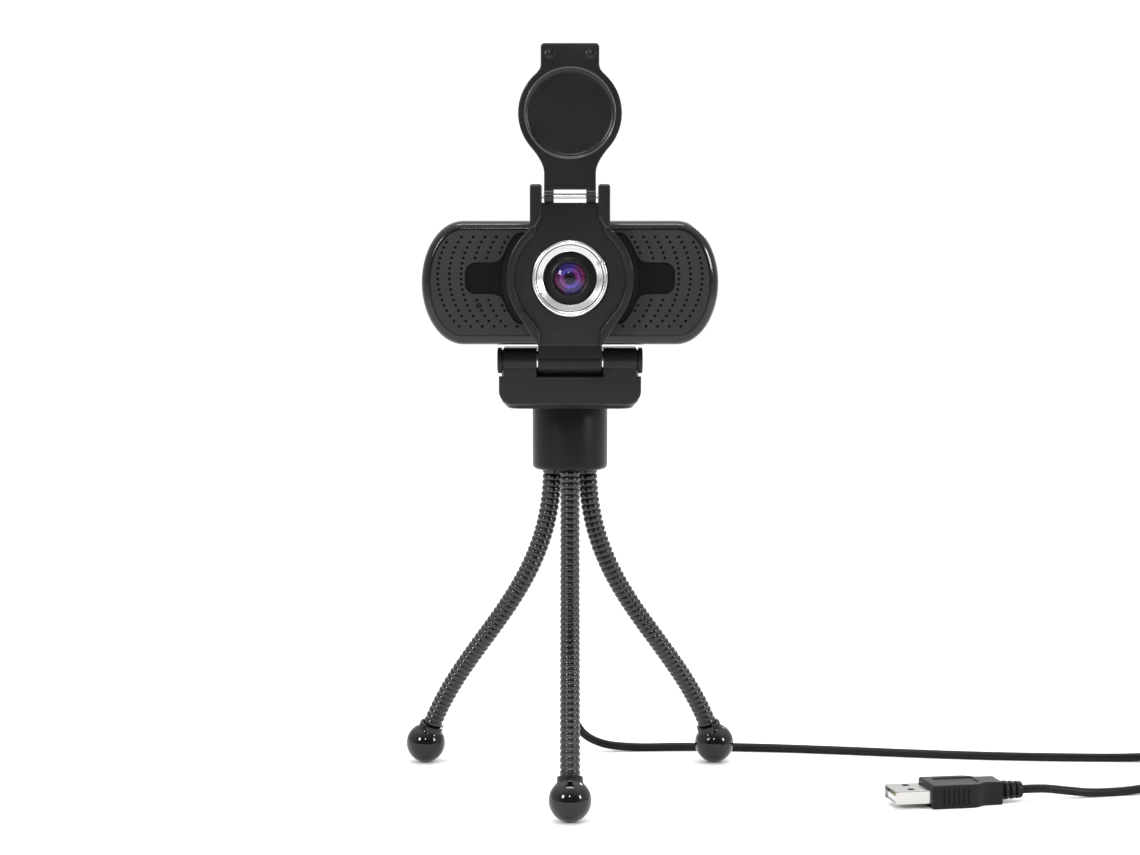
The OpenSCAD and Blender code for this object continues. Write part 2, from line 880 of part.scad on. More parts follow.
// The stretch of the lead between two of its route points
module lead_stretch(path, dirs, first, last) {
    picked = [for (i = [first * ring_steps:last * ring_steps]) i];
    color("#101012")
        tube([for (i = picked) path[i]], [for (i = picked) dirs[i]], [for (i = picked) lead_r], 8);
}

module lead_upper() { lead_stretch(lead_path, lead_dirs, 0, upper_end); }
module lead_middle() { lead_stretch(lead_path, lead_dirs, upper_end, middle_end); }
module lead_lower() { lead_stretch(lead_path, lead_dirs, middle_end, len(route) - 1); }
module lead_tail() { lead_stretch(tail_path, tail_dirs, 0, len(tail) - 1); }

module lead_coil() {
    corner = 1.4;
    color("#101012")
        translate([coil_x, coil_y, 0])
            rotate_extrude()
                translate([(coil_in + coil_out) / 2, (coil_low + coil_high) / 2])
                    round_rect(coil_out - coil_in, coil_high - coil_low, corner);
}

module coil_tie() {
    color("#2b2b2d")
        translate([coil_x, coil_y, 0])
            difference() {
                translate([tie_in - tie_t, -tie_w / 2, 0])
                    cube([coil_out - tie_in + 2 * tie_t, tie_w, coil_high + tie_t + 0.1]);
                translate([tie_in, -tie_w, coil_low - 0.05])
                    cube([coil_out + 0.05 - tie_in, 2 * tie_w, coil_high - coil_low + 0.1]);
            }
}

// Places a plug part: its own +X runs from the lead to the tip
module on_plug() {
    translate([plug_x, plug_y, plug_z])
        rotate([0, 0, plug_turn])
            children();
}

module plug_relief() {
    color("#151517")
        on_plug()
            rotate([0, 90, 0])
                rotate_extrude()
                    polygon([
                        [0, 0], [2.9, 0], [3.2, 0.6], [3.2, 2.6], [2, 3], [2, 3.8], [3.2, 4.2], [3.2, 6.4],
                        [2.6, 6.8], [2.6, relief_len], [0, relief_len]
                    ]);
}

module plug_body() {
    half = plug_w / 2;
    narrow = 4.7;
    color("#151517")
        on_plug()
            difference() {
                translate([0, 0, -plug_h / 2])
                    linear_extrude(plug_h)
                        polygon([
                            [relief_len + 0.02, -narrow], [relief_len + 5, -narrow], [relief_len + 8, -half + 0.8],
                            [relief_len + 12, -half], [relief_len + plug_len - 1, -half],
                            [relief_len + plug_len, -half + 1], [relief_len + plug_len, half - 1],
                            [relief_len + plug_len - 1, half], [relief_len + 12, half],
                            [relief_len + 8, half - 0.8], [relief_len + 5, narrow], [relief_len + 0.02, narrow]
                        ]);
                translate([relief_len + 8, -4.4, plug_h / 2 - 0.5])
                    cube([14, 8.8, 1]);
                translate([relief_len + plug_len - 8, -shell_w / 2, -shell_h / 2])
                    cube([9, shell_w, shell_h]);
            }
}

module plug_shell() {
    skin = 0.35;
    color("#d5d3d0")
        on_plug()
            translate([relief_len + plug_len - 7.9, 0, 0])
                difference() {
                    translate([0, -shell_w / 2 + 0.02, -shell_h / 2 + 0.02])
                        cube([shell_len + 7.9, shell_w - 0.04, shell_h - 0.04]);
                    translate([1, -shell_w / 2 + skin, -shell_h / 2 + skin])
                        cube([shell_len + 8, shell_w - 2 * skin, shell_h - 2 * skin]);
                    for (sy = [-1, 1])
                        translate([12.7, sy * 3.1 - 1.15, -4])
                            cube([2.3, 2.3, 8]);
                }
}

module plug_tongue() {
    color("#e9e9ec")
        on_plug()
            translate([relief_len + plug_len - 6.8, -5.6, -shell_h / 2 + 0.4])
                cube([18, 11.2, 1.6]);
}

module plug_contacts() {
    color("#c9a24a")
        on_plug()
            for (y = [-3.5, -1, 1, 3.5])
                translate([relief_len + plug_len + 2, y - 0.5, -shell_h / 2 + 2.01])
                    cube([8.5, 1, 0.2]);
}

front_shell();
rear_shell();
face_trim();
face_panel();
cover_frame();
lens_ring();
lens_barrel();
lens_glass();
lens_rear_element();
lens_holder();
image_sensor();
main_board();
board_screws();
shell_screws();
microphone();
lead_socket();
head_neck();
cable_gland();
cover_pin();
privacy_cover();
clip_arm();
arm_pad();
tilt_pin();
tilt_caps();
tilt_washers();
clip_base();
base_pad();
base_cover();
base_screws();
thread_insert();
fold_pin();
fold_caps();
hub_shell();
tripod_screw();
hub_plate();
hub_plate_screw();
leg_front();
leg_right();
leg_left();
leg_core_front();
leg_core_right();
leg_core_left();
foot_front();
foot_right();
foot_left();
lead_upper();
lead_middle();
lead_lower();
lead_coil();
lead_tail();
coil_tie();
plug_relief();
plug_body();
plug_shell();
plug_tongue();
plug_contacts();
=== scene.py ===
import math

import bmesh
import bpy
from mathutils import Matrix, Vector
from mathutils.geometry import delaunay_2d_cdt


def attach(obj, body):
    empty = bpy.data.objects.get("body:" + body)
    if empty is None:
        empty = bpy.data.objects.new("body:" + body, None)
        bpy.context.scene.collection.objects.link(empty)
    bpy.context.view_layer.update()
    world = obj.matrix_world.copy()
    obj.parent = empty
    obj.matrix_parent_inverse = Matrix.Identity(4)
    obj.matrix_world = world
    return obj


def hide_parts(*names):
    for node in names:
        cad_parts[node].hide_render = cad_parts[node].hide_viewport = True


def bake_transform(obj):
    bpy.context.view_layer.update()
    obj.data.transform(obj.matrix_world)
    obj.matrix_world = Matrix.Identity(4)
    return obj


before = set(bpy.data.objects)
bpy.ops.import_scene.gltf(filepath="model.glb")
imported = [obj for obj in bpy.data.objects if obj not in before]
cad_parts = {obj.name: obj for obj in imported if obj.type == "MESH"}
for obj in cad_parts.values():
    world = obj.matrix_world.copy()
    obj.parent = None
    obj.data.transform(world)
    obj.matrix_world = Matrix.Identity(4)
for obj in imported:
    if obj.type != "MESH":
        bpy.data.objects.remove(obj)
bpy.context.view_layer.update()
scene = bpy.context.scene
scene.view_settings.view_transform = "Standard"
MM = 0.001


# ---- camera, floor and lights ----
# The camera stands in front of the object and a little above its middle, on a long lens. The floor is a
# wide pale disc under a white sky, which lights less from the camera's side and more from above.
# Four softboxes and a catch light shine on the object.

camera = bpy.data.objects.new("camera", bpy.data.cameras.new("camera"))
scene.collection.objects.link(camera)
camera.data.lens = 75
camera.data.sensor_width = 36
camera.location = (0.0, -0.80, 0.185)
camera.rotation_euler = (Vector((0, -0.01, 0.125)) - camera.location).to_track_quat("-Z", "Y").to_euler()
scene.camera = camera


def softbox(name, place, aim, width, height, power):
    """A rectangular area light that looks at a point."""
    light = bpy.data.objects.new(name, bpy.data.lights.new(name, "AREA"))
    light.data.shape = "RECTANGLE"
    light.data.size = width
    light.data.size_y = height
    light.data.energy = power
    light.location = place
    light.rotation_euler = (Vector(aim) - Vector(place)).to_track_quat("-Z", "Y").to_euler()
    scene.collection.objects.link(light)


softbox("key softbox", (-0.75, -0.85, 0.62), (0, 0, 0.15), 0.24, 0.3, 8)
softbox("fill softbox", (0.95, -0.55, 0.45), (0, 0, 0.14), 0.17, 0.28, 5)
softbox("top softbox", (0.0, -0.15, 1.1), (0, 0, 0.1), 0.6, 0.1, 3.5)
softbox("catch light", (-0.03, -0.9, 0.6), (0, -0.04, 0.18), 0.08, 0.08, 1.6)
softbox("back softbox", (0.5, 0.95, 0.65), (0, 0, 0.14), 0.3, 0.2, 3)

scene.world = bpy.data.worlds.new("studio")
scene.world.use_nodes = True
sky = scene.world.node_tree
sky.nodes["Background"].inputs["Color"].default_value = (1.0, 1.0, 1.0, 1)
sky_way = sky.nodes.new("ShaderNodeSeparateXYZ")
sky.links.new(sky.nodes.new("ShaderNodeTexCoord").outputs["Generated"], sky_way.inputs["Vector"])
sky_parts = []
for axis, low, high, low_strength, high_strength in (
    ("Y", -0.8, -0.2, 0.22, 1.0), ("Z", 0.45, 0.85, 1.0, 1.7),
):
    part = sky.nodes.new("ShaderNodeMapRange")
    part.inputs["From Min"].default_value = low
    part.inputs["From Max"].default_value = high
    part.inputs["To Min"].default_value = low_strength
    part.inputs["To Max"].default_value = high_strength
    sky.links.new(sky_way.outputs[axis], part.inputs["Value"])
    sky_parts.append(part.outputs["Result"])
sky_light = sky.nodes.new("ShaderNodeMath")
sky_light.operation = "MULTIPLY"
sky.links.new(sky_parts[0], sky_light.inputs[0])
sky.links.new(sky_parts[1], sky_light.inputs[1])
sky_strength = sky.nodes.new("ShaderNodeMix")
sky.links.new(sky.nodes.new("ShaderNodeLightPath").outputs["Is Camera Ray"], sky_strength.inputs[0])
sky.links.new(sky_light.outputs["Value"], sky_strength.inputs[2])
sky_strength.inputs[3].default_value = 1.04
sky.links.new(sky_strength.outputs[0], sky.nodes["Background"].inputs["Strength"])

floor_mesh = bmesh.new()
floor_rings = [
    [
        floor_mesh.verts.new((radius * math.cos(a), radius * math.sin(a), 0.0))
        for a in [2 * math.pi * i / 96 for i in range(96)]
    ]
    for radius in (0.6, 2.0, 8.0)
]
floor_mesh.faces.new(floor_rings[0])
for inner, outer in zip(floor_rings, floor_rings[1:]):
    for i in range(96):
        floor_mesh.faces.new((inner[i], outer[i], outer[(i + 1) % 96], inner[(i + 1) % 96]))
floor_data = bpy.data.meshes.new("floor")
floor_mesh.to_mesh(floor_data)
floor_mesh.free()
floor_data.polygons.foreach_set("use_smooth", [True] * len(floor_data.polygons))
floor = bpy.data.objects.new("floor", floor_data)
scene.collection.objects.link(floor)
floor_paint = bpy.data.materials.new("floor paint")
floor_paint.use_nodes = True
floor_shader = floor_paint.node_tree.nodes["Principled BSDF"]
floor_shader.inputs["Base Color"].default_value = (0.93, 0.93, 0.93, 1)
floor_shader.inputs["Roughness"].default_value = 0.85
floor_shader.inputs["Specular IOR Level"].default_value = 0.2
floor_data.materials.append(floor_paint)


# ---- lead ----
# One 3 mm round lead in soft black PVC. It leaves the head's strain relief, arches over the folded clip,
# drops behind the tripod and runs along the floor. Its spare length is wound in a flat two-layer coil.

lead_r = 1.5
lead_route = [
    (14, 3, 168), (14, 13, 168), (13, 23, 165), (11, 32, 159), (9, 39, 154.5), (6, 46, 152.5),
    (4, 52, 151), (2, 57, 146), (1, 59.5, 139), (0, 60, 130), (0, 60, 120), (0, 60, 110),
    (0, 60, 90), (0, 60, 70), (0, 60, 50), (0, 60, 32), (0.5, 60.5, 18), (4, 61.5, 8), (12, 62.5, 3),
    (24, 63, 1.5), (40, 63.5, 1.5), (60, 63, 1.5), (80, 60.5, 1.5), (100, 57, 1.5), (120, 53, 1.5),
    (140, 49.5, 1.5), (160, 47, 1.5), (180, 45.5, 1.5), (196, 45, 1.5), (211, 44.6, 1.9),
    (226, 44.5, 2.2),
]
tail_route = [
    (226, -4.5, 5.2), (212, -4.8, 4.6), (199, -6, 2.6), (187, -8, 1.5), (176, -10.5, 1.6),
    (167, -12.8, 2.8), (159, -14.6, 3.9), (151, -16, 4),
]
coil_at = (226, 20)


def rounded_route(points, steps):
    """A smooth curve through the points, with a number of steps between neighbours."""
    points = [Vector(p) for p in points]
    line = []
    for i in range(len(points) - 1):
        a, b, c = points[max(i - 1, 0)], points[i], points[i + 1]
        d = points[min(i + 2, len(points) - 1)]
        for k in range(steps):
            t = k / steps
            line.append(0.5 * (
                2 * b + (c - a) * t + (2 * a - 5 * b + 4 * c - d) * t * t + (3 * b - a - 3 * c + d) * t ** 3
            ))
    line.append(points[-1])
    return line


def made_mesh(name, points, faces, sharp=40):
    """An object from points in millimetres, smooth apart from edges sharper than an angle."""
    shape = bmesh.new()
    verts = [shape.verts.new(Vector(p) * MM) for p in points]
    for face in faces:
        shape.faces.new([verts[i] for i in face])
    bmesh.ops.remove_doubles(shape, verts=shape.verts, dist=1e-7)
    bmesh.ops.recalc_face_normals(shape, faces=shape.faces)
    mesh = bpy.data.meshes.new(name)
    shape.to_mesh(mesh)
    shape.free()
    mesh.polygons.foreach_set("use_smooth", [True] * len(mesh.polygons))
    mesh.set_sharp_from_angle(angle=math.radians(sharp))
    made = bpy.data.objects.new(name, mesh)
    scene.collection.objects.link(made)
    return made


def swept(name, line, radii, sides, sharp=40):
    """A closed round tube along a line of points, with one radius for each point."""
    line = [Vector(p) for p in line]
    last = len(line) - 1
    ahead = [(line[min(i + 1, last)] - line[max(i - 1, 0)]).normalized() for i in range(len(line))]
    across = ahead[0].orthogonal().normalized()
    points = []
    for spot, along, radius in zip(line, ahead, radii):
        across = (across - along * across.dot(along)).normalized()
        up = along.cross(across)
        for i in range(sides):
            a = 2 * math.pi * i / sides
            points.append(spot + radius * (math.cos(a) * across + math.sin(a) * up))
    faces = [
        (j * sides + i, j * sides + k, (j + 1) * sides + k, (j + 1) * sides + i)
        for j in range(last)
        for i, k in [(i, (i + 1) % sides) for i in range(sides)]
    ]
    faces.append(tuple(range(sides)))
    faces.append(tuple(last * sides + i for i in range(sides)))
    return made_mesh(name, points, faces, sharp)


def shader_group(name, sockets):
    """An empty shader node group with its named inputs and outputs."""
    group = bpy.data.node_groups.new(name, "ShaderNodeTree")
    for direction, socket, kind, value in sockets:
        made = group.interface.new_socket(socket, in_out=direction, socket_type=kind)
        if value is not None:
            made.default_value = value
    return group, group.nodes.new("NodeGroupInput"), group.nodes.new("NodeGroupOutput")


def wired(group, kind, settings=(), values=(), **links):
    """A node in a group or material, with its settings, its fixed inputs and what feeds the others.
    A link named i0, i1 and so on goes to the input of that number."""
    node = group.nodes.new(kind)
    for key, value in settings:
        setattr(node, key, value)
    for socket, value in values:
        node.inputs[socket].default_value = value
    for socket, source in links.items():
        numbered = socket[0] == "i" and socket[1:].isdigit()
        group.links.new(source, node.inputs[int(socket[1:]) if numbered else socket])
    return node


# Moulded surface: slow cloudiness in the colour, light scuffs, and fingermarks in the roughness
surface_group, put_in, put_out = shader_group("moulded surface", [
    ("INPUT", "Colour", "NodeSocketColor", (0.02, 0.02, 0.02, 1)),
    ("INPUT", "Rubbed Colour", "NodeSocketColor", (0.06, 0.06, 0.06, 1)),
    ("INPUT", "Rubbed", "NodeSocketFloat", 0.5),
    ("INPUT", "Roughness", "NodeSocketFloat", 0.4),
    ("INPUT", "Fingermarks", "NodeSocketFloat", 0.08),
    ("OUTPUT", "Colour", "NodeSocketColor", None),
    ("OUTPUT", "Roughness", "NodeSocketFloat", None),
])
place = surface_group.nodes.new("ShaderNodeTexCoord")
cloud = wired(
    surface_group, "ShaderNodeTexNoise", values=[("Scale", 45.0), ("Detail", 3.0)],
    Vector=place.outputs["Object"],
)
cloud_range = wired(
    surface_group, "ShaderNodeMapRange", values=[("To Min", 0.86), ("To Max", 1.16)],
    Value=cloud.outputs["Fac"],
)
tinted = wired(
    surface_group, "ShaderNodeVectorMath", settings=[("operation", "SCALE")],
    i0=put_in.outputs["Colour"], Scale=cloud_range.outputs["Result"],
)
scuff = wired(
    surface_group, "ShaderNodeTexNoise", values=[("Scale", 260.0), ("Detail", 5.0), ("Roughness", 0.7)],
    Vector=place.outputs["Object"],
)
scuff_range = wired(
    surface_group, "ShaderNodeMapRange", values=[("From Min", 0.56), ("From Max", 0.82), ("To Max", 0.5)],
    Value=scuff.outputs["Fac"],
)
scuffed = wired(
    surface_group, "ShaderNodeMath", settings=[("operation", "MULTIPLY"), ("use_clamp", True)],
    i0=scuff_range.outputs["Result"], i1=put_in.outputs["Rubbed"],
)
worn = wired(
    surface_group, "ShaderNodeMix", settings=[("data_type", "RGBA")],
    i0=scuffed.outputs["Value"], i6=tinted.outputs["Vector"], i7=put_in.outputs["Rubbed Colour"],
)
surface_group.links.new(worn.outputs[2], put_out.inputs["Colour"])
marks = wired(
    surface_group, "ShaderNodeTexNoise", values=[("Scale", 70.0), ("Detail", 2.0)],
    Vector=place.outputs["Object"],
)
marks_range = wired(
    surface_group, "ShaderNodeMapRange",
    values=[("From Min", 0.3), ("From Max", 0.7), ("To Min", -1.0), ("To Max", 1.0)],
    Value=marks.outputs["Fac"],
)
marked = wired(
    surface_group, "ShaderNodeMath", settings=[("operation", "MULTIPLY_ADD"), ("use_clamp", True)],
    i0=marks_range.outputs["Result"], i1=put_in.outputs["Fingermarks"], i2=put_in.outputs["Roughness"],
)
surface_group.links.new(marked.outputs["Value"], put_out.inputs["Roughness"])

# Spark-eroded grain: fine pits on the mould's wall, with a slow waviness of the skin under them
grain_group, put_in, put_out = shader_group("eroded grain", [
    ("INPUT", "Pits per metre", "NodeSocketFloat", 3000.0),
    ("INPUT", "Waviness", "NodeSocketFloat", 0.15),
    ("OUTPUT", "Height", "NodeSocketFloat", None),
])
place = grain_group.nodes.new("ShaderNodeTexCoord")
pits = wired(
    grain_group, "ShaderNodeTexNoise", values=[("Detail", 2.0), ("Roughness", 0.6)],
    Vector=place.outputs["Object"], Scale=put_in.outputs["Pits per metre"],
)
wave = wired(
    grain_group, "ShaderNodeTexNoise", values=[("Scale", 120.0), ("Detail", 1.0)],
    Vector=place.outputs["Object"],
)
grained = wired(
    grain_group, "ShaderNodeMath", settings=[("operation", "MULTIPLY_ADD")],
    i0=wave.outputs["Fac"], i1=put_in.outputs["Waviness"], i2=pits.outputs["Fac"],
)
grain_group.links.new(grained.outputs["Value"], put_out.inputs["Height"])


def moulding(
    name, colour, rubbed, roughness, pits=3000.0, depth=0.02, rub=0.5, marks=0.04, coat=0.0, level=0.15,
):
    """A moulded plastic or rubber: its colours, gloss, grain per metre and grain depth in millimetres."""
    material = bpy.data.materials.new(name)
    material.use_nodes = True
    tree = material.node_tree
    shader = tree.nodes["Principled BSDF"]
    shader.inputs["Coat Weight"].default_value = coat
    shader.inputs["Coat Roughness"].default_value = 0.06
    shader.inputs["Specular IOR Level"].default_value = level
    surface = wired(tree, "ShaderNodeGroup", settings=[("node_tree", surface_group)], values=[
        ("Colour", (*colour, 1)), ("Rubbed Colour", (*rubbed, 1)), ("Rubbed", rub),
        ("Roughness", roughness), ("Fingermarks", marks),
    ])
    grain = wired(
        tree, "ShaderNodeGroup", settings=[("node_tree", grain_group)], values=[("Pits per metre", pits)],
    )
    bump = wired(
        tree, "ShaderNodeBump", values=[("Strength", 0.6), ("Distance", depth * MM)],
        Height=grain.outputs["Height"],
    )
    tree.links.new(surface.outputs["Colour"], shader.inputs["Base Color"])
    tree.links.new(surface.outputs["Roughness"], shader.inputs["Roughness"])
    tree.links.new(bump.outputs["Normal"], shader.inputs["Normal"])
    return material


def fitted(made, material, body, slot, *nodes):
    """Paints a piece, puts it on its body, and hides the CAD nodes it stands for. The slot is not used."""
    made.data.materials.clear()
    made.data.materials.append(material)
    if body:
        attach(made, body)
    if nodes:
        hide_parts(*nodes)
    return made


lead_pvc = moulding(
    "lead PVC", (0.006, 0.006, 0.0065), (0.03, 0.03, 0.032), 0.34, pits=1400, depth=0.03, marks=0.04,
)

route_steps = 8
arm_turn, base_turn = 5 * route_steps, 11 * route_steps
lead_line = rounded_route(lead_route, route_steps)
upper_line = lead_line[: arm_turn + 1]
lead_upper = swept("lead_upper_run", upper_line, [lead_r] * len(upper_line), 20)
fitted(lead_upper, lead_pvc, None, "lead_jacket", "lead_upper")
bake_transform(lead_upper)

middle_line = lead_line[arm_turn: base_turn + 1]
lead_middle = swept("lead_middle_run", middle_line, [lead_r] * len(middle_line), 20)
fitted(lead_middle, lead_pvc, None, "lead_jacket", "lead_middle")
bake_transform(lead_middle)

turns = 8.5
turn_steps = 40
coil_line = []
for step in range(1, int(turns * turn_steps)):
    share = step / (turns * turn_steps)
    heading = math.radians(90) - 2 * math.pi * step / turn_steps
    inward = 1 - abs(2 * share - 1)
    rise = min(max((share - 0.455) / 0.09, 0), 1)
    radius = 24.5 - 13.2 * inward
    coil_line.append(Vector((
        coil_at[0] + radius * math.cos(heading),
        coil_at[1] + radius * math.sin(heading),
        2.2 + 3.05 * rise * rise * (3 - 2 * rise),
    )))
floor_line = lead_line[base_turn:] + coil_line + rounded_route(tail_route, route_steps)
lead_lower = swept("lead_lower_run", floor_line, [lead_r] * len(floor_line), 20)
fitted(lead_lower, lead_pvc, "base", "lead_jacket", "lead_lower", "lead_coil", "lead_tail")


# ---- front shell ----
# The front half of the head, moulded in gloss black ABS. A bevelled rim runs round the recessed face,
# and a hole in the recess's floor takes the lens.

lens_z = 175
head_mid = 173.5


def head_outline(inset):
    """Outline of the head in X and Z, moved in by an inset."""
    steps = 28
    return [
        (side * (34.5 + (13.5 - inset) * math.cos(a)), head_mid + (20 - inset) * math.sin(a))
        for side in (1, -1)
        for a in [side * math.radians(90 - 180 * i / steps) for i in range(steps + 1)]
    ]


def head_ring(y, inset):
    return [(x, y, z) for x, z in head_outline(inset)]


def lens_ring_points(y, radius):
    """A circle about the lens with one point for each point of the head's outline."""
    return [
        (radius * math.cos(a), y, lens_z + radius * math.sin(a))
        for a in [math.atan2(z - lens_z, x) for x, z in head_outline(3)]
    ]


def lofted(name, rings, joined=False, sharp=30):
    """A skin through rings of points: closed on itself, or closed at both ends."""
    n = len(rings[0])
    m = len(rings)
    faces = [
        (j * n + i, j * n + (i + 1) % n, (j + 1) % m * n + (i + 1) % n, (j + 1) % m * n + i)
        for j in range(m if joined else m - 1)
        for i in range(n)
    ]
    if not joined:
        faces.append(tuple(range(n)))
        faces.append(tuple((m - 1) * n + i for i in range(n)))
    return made_mesh(name, [p for ring in rings for p in ring], faces, sharp)


def evened(made):
    """Flat faces keep their own normals, so that light falls evenly over them up to their rounded edges."""
    modifier = made.modifiers.new("even normals", "WEIGHTED_NORMAL")
    modifier.keep_sharp = True
    modifier.weight = 80
    return made


def aimed(at, along):
    """A placement at a point in millimetres, with its Z axis along a direction."""
    return Matrix.Translation(Vector(at)) @ Vector(along).to_track_quat("Z", "Y").to_matrix().to_4x4()


def turned(name, profile, at, along, sides=96, joined=False, sharp=32):
    """A lathe-turned piece: the profile is (radius, distance along the axis) in millimetres."""
    placing = aimed(at, along)
    angles = [2 * math.pi * i / sides for i in range(sides)]
    rings = [
        [placing @ Vector((r * math.cos(a), r * math.sin(a), h)) for a in angles]
        for r, h in [(max(r, 0.0001), h) for r, h in profile]
    ]
    return lofted(name, rings, joined, sharp)


def cut(made, *cutters):
    """Takes the cutters out of a piece, and removes them."""
    for cutter in cutters:
        modifier = made.modifiers.new("cut", "BOOLEAN")
        modifier.operation = "DIFFERENCE"
        modifier.solver = "EXACT"
        modifier.object = cutter
    bpy.context.view_layer.update()
    whole = bpy.data.meshes.new_from_object(made.evaluated_get(bpy.context.evaluated_depsgraph_get()))
    made.modifiers.clear()
    made.data = whole
    for cutter in cutters:
        bpy.data.objects.remove(cutter)
    whole.polygons.foreach_set("use_smooth", [True] * len(whole.polygons))
    whole.set_sharp_from_angle(angle=math.radians(32))
    return made


gloss_abs = moulding(
    "gloss black ABS", (0.004, 0.004, 0.0043), (0.012, 0.012, 0.013), 0.14, pits=900, depth=0.004,
    rub=0.35, marks=0.02, level=0.36,
)

front_sections = [
    (-32.4, 3.0), (-33.95, 3.0), (-34.0, 2.95), (-34.0, 2.5), (-33.9, 2.2), (-33.55, 1.65),
    (-33.2, 1.12), (-32.7, 0.66), (-32.0, 0.3), (-31.3, 0.1), (-30.5, 0.0), (-22.35, 0.0),
    (-22.15, 0.08), (-22.08, 0.25), (-22.08, 0.7), (-22.01, 0.72), (-22.01, 1.8), (-30.6, 2.2),
]
front_rings = [lens_ring_points(-32.4, 12.5)] + [head_ring(y, inset) for y, inset in front_sections]
front_rings.append(lens_ring_points(-30.6, 12.5))
front_shell = evened(lofted("front_housing", front_rings, joined=True))
fitted(front_shell, gloss_abs, "head", "gloss_shell", "front_shell")


# ---- rear shell ----
# The rear half of the head in the same ABS, with a rounded back. Two screws in deep counterbores
# draw it on to the front shell, and a fine parting line shows where they meet.

rear_sections = [
    (-9.0, 10.0), (-10.0, 6.8), (-14.0, 3.0), (-21.99, 1.8), (-21.99, 0.72), (-21.92, 0.7), (-21.92, 0.25),
    (-21.85, 0.08), (-21.65, 0.0), (-18.0, 0.03), (-14.0, 0.2), (-12.4, 0.6), (-11.0, 1.2), (-9.9, 1.95),
    (-9.0, 2.8), (-8.3, 3.9), (-7.7, 5.2), (-7.25, 6.8), (-7.05, 8.0), (-7.0, 8.9),
]
rear_shell = lofted("rear_housing", [head_ring(y, inset) for y, inset in rear_sections])
shell_screw_x = 41
bores = [
    turned(f"bore {x}", [(0, -2), (2.4, -2), (2.4, 14), (0, 14)], (x, -17, head_mid), (0, 1, 0), 40)
    for x in (-shell_screw_x, shell_screw_x)
]
bores.append(turned("gland hole", [(0, 0), (2.65, 0), (2.65, 14), (0, 14)], (14, -15, 168), (0, 1, 0), 40))
evened(cut(rear_shell, *bores))
fitted(rear_shell, gloss_abs, "head", "gloss_shell", "rear_shell")

for side, x in (("left", -shell_screw_x), ("right", shell_screw_x)):
    post = turned(
        f"screw_post_{side}",
        [(1.6, -21.5), (3.0, -21.5), (3.0, -8.4), (2.42, -8.2), (2.42, -17), (1.6, -17)],
        (x, 0, head_mid), (0, 1, 0), 40, joined=True,
    )
    fitted(post, gloss_abs, "head", "gloss_shell")


def cross_screws(name, heads, along, head_r, head_h, shank_r, shank_l, metal, body, slot, *nodes):
    """Small cross-head screws: a domed head with a cross recess, and a shank."""
    whole = None
    for number, spot in enumerate(heads):
        screw = turned(
            f"{name}_{number}",
            [
                (0, -shank_l), (shank_r * 0.6, -shank_l), (shank_r, -shank_l + 0.5), (shank_r, 0),
                (head_r, 0), (head_r, head_h * 0.45), (head_r * 0.9, head_h * 0.72),
                (head_r * 0.6, head_h * 0.93), (0, head_h),
            ],
            spot, along, 32,
        )
        placing = aimed(spot, along)
        slots = []
        for angle in (0, 90):
            arm, depth = head_r * 0.55, head_h * 0.55
            corners = [
                placing @ Matrix.Rotation(math.radians(angle + 20), 4, "Z") @ Vector((x, y, z))
                for z, a, b in ((depth, arm * 0.6, arm * 0.16), (head_h + 0.3, arm, arm * 0.3))
                for x, y in ((-a, -b), (a, -b), (a, b), (-a, b))
            ]
            slots.append(made_mesh("slot", corners, [
                (0, 1, 2, 3), (4, 5, 6, 7), (0, 1, 5, 4), (1, 2, 6, 5), (2, 3, 7, 6), (3, 0, 4, 7)
            ]))
        screw = cut(screw, *slots)
        if whole is None:
            whole = screw
        else:
            shape = bmesh.new()
            shape.from_mesh(whole.data)
            shape.from_mesh(screw.data)
            shape.to_mesh(whole.data)
            shape.free()
            bpy.data.objects.remove(screw)
    whole.name = name
    return fitted(whole, metal, body, slot, *nodes)


def metal_finish(name, colour, roughness, brushed=0.0, grain=2200.0, depth=0.004):
    """A plated or turned metal, with a fine grain and fingermarks in its gloss."""
    rubbed = tuple(min(1, c * 1.3) for c in colour)
    material = moulding(name, colour, rubbed, roughness, pits=grain, depth=depth, rub=0.3, marks=0.03)
    shader = material.node_tree.nodes["Principled BSDF"]
    shader.inputs["Metallic"].default_value = 1.0
    shader.inputs["Anisotropic"].default_value = brushed
    return material


zinc_steel = metal_finish("zinc-plated steel", (0.5, 0.5, 0.51), 0.28)
cross_screws(
    "shell_cross_screws", [(x, -17, head_mid) for x in (-shell_screw_x, shell_screw_x)], (0, 1, 0),
    2.25, 1.6, 1.2, 11, zinc_steel, "head", "steel", "shell_screws",
)


# ---- face trim ----
# A gloss black sheet on the recess's floor. It shows through the panel as the two bars beside the lens,
# and through the dots; a deeper black well surrounds the lens frame.

def area_of(loop):
    return sum(a[0] * b[1] - b[0] * a[1] for a, b in zip(loop, loop[1:] + loop[:1])) / 2


def moved_in(loop, distance):
    """A loop moved towards its left-hand side, with mitred corners."""
    moved = []
    for before, here, after in zip(loop[-1:] + loop[:-1], loop, loop[1:] + loop[:1]):
        first = (Vector(here) - Vector(before)).normalized()
        second = (Vector(after) - Vector(here)).normalized()
        left_a, left_b = Vector((-first.y, first.x)), Vector((-second.y, second.x))
        mitre = (left_a + left_b) / max(1 + left_a.dot(left_b), 0.35)
        moved.append((here[0] + mitre.x * distance, here[1] + mitre.y * distance))
    return moved


def inside(spot, loop):
    within = False
    for (x0, y0), (x1, y1) in zip(loop, loop[1:] + loop[:1]):
        if (y0 > spot[1]) != (y1 > spot[1]) and spot[0] < x0 + (spot[1] - y0) * (x1 - x0) / (y1 - y0):
            within = not within
    return within


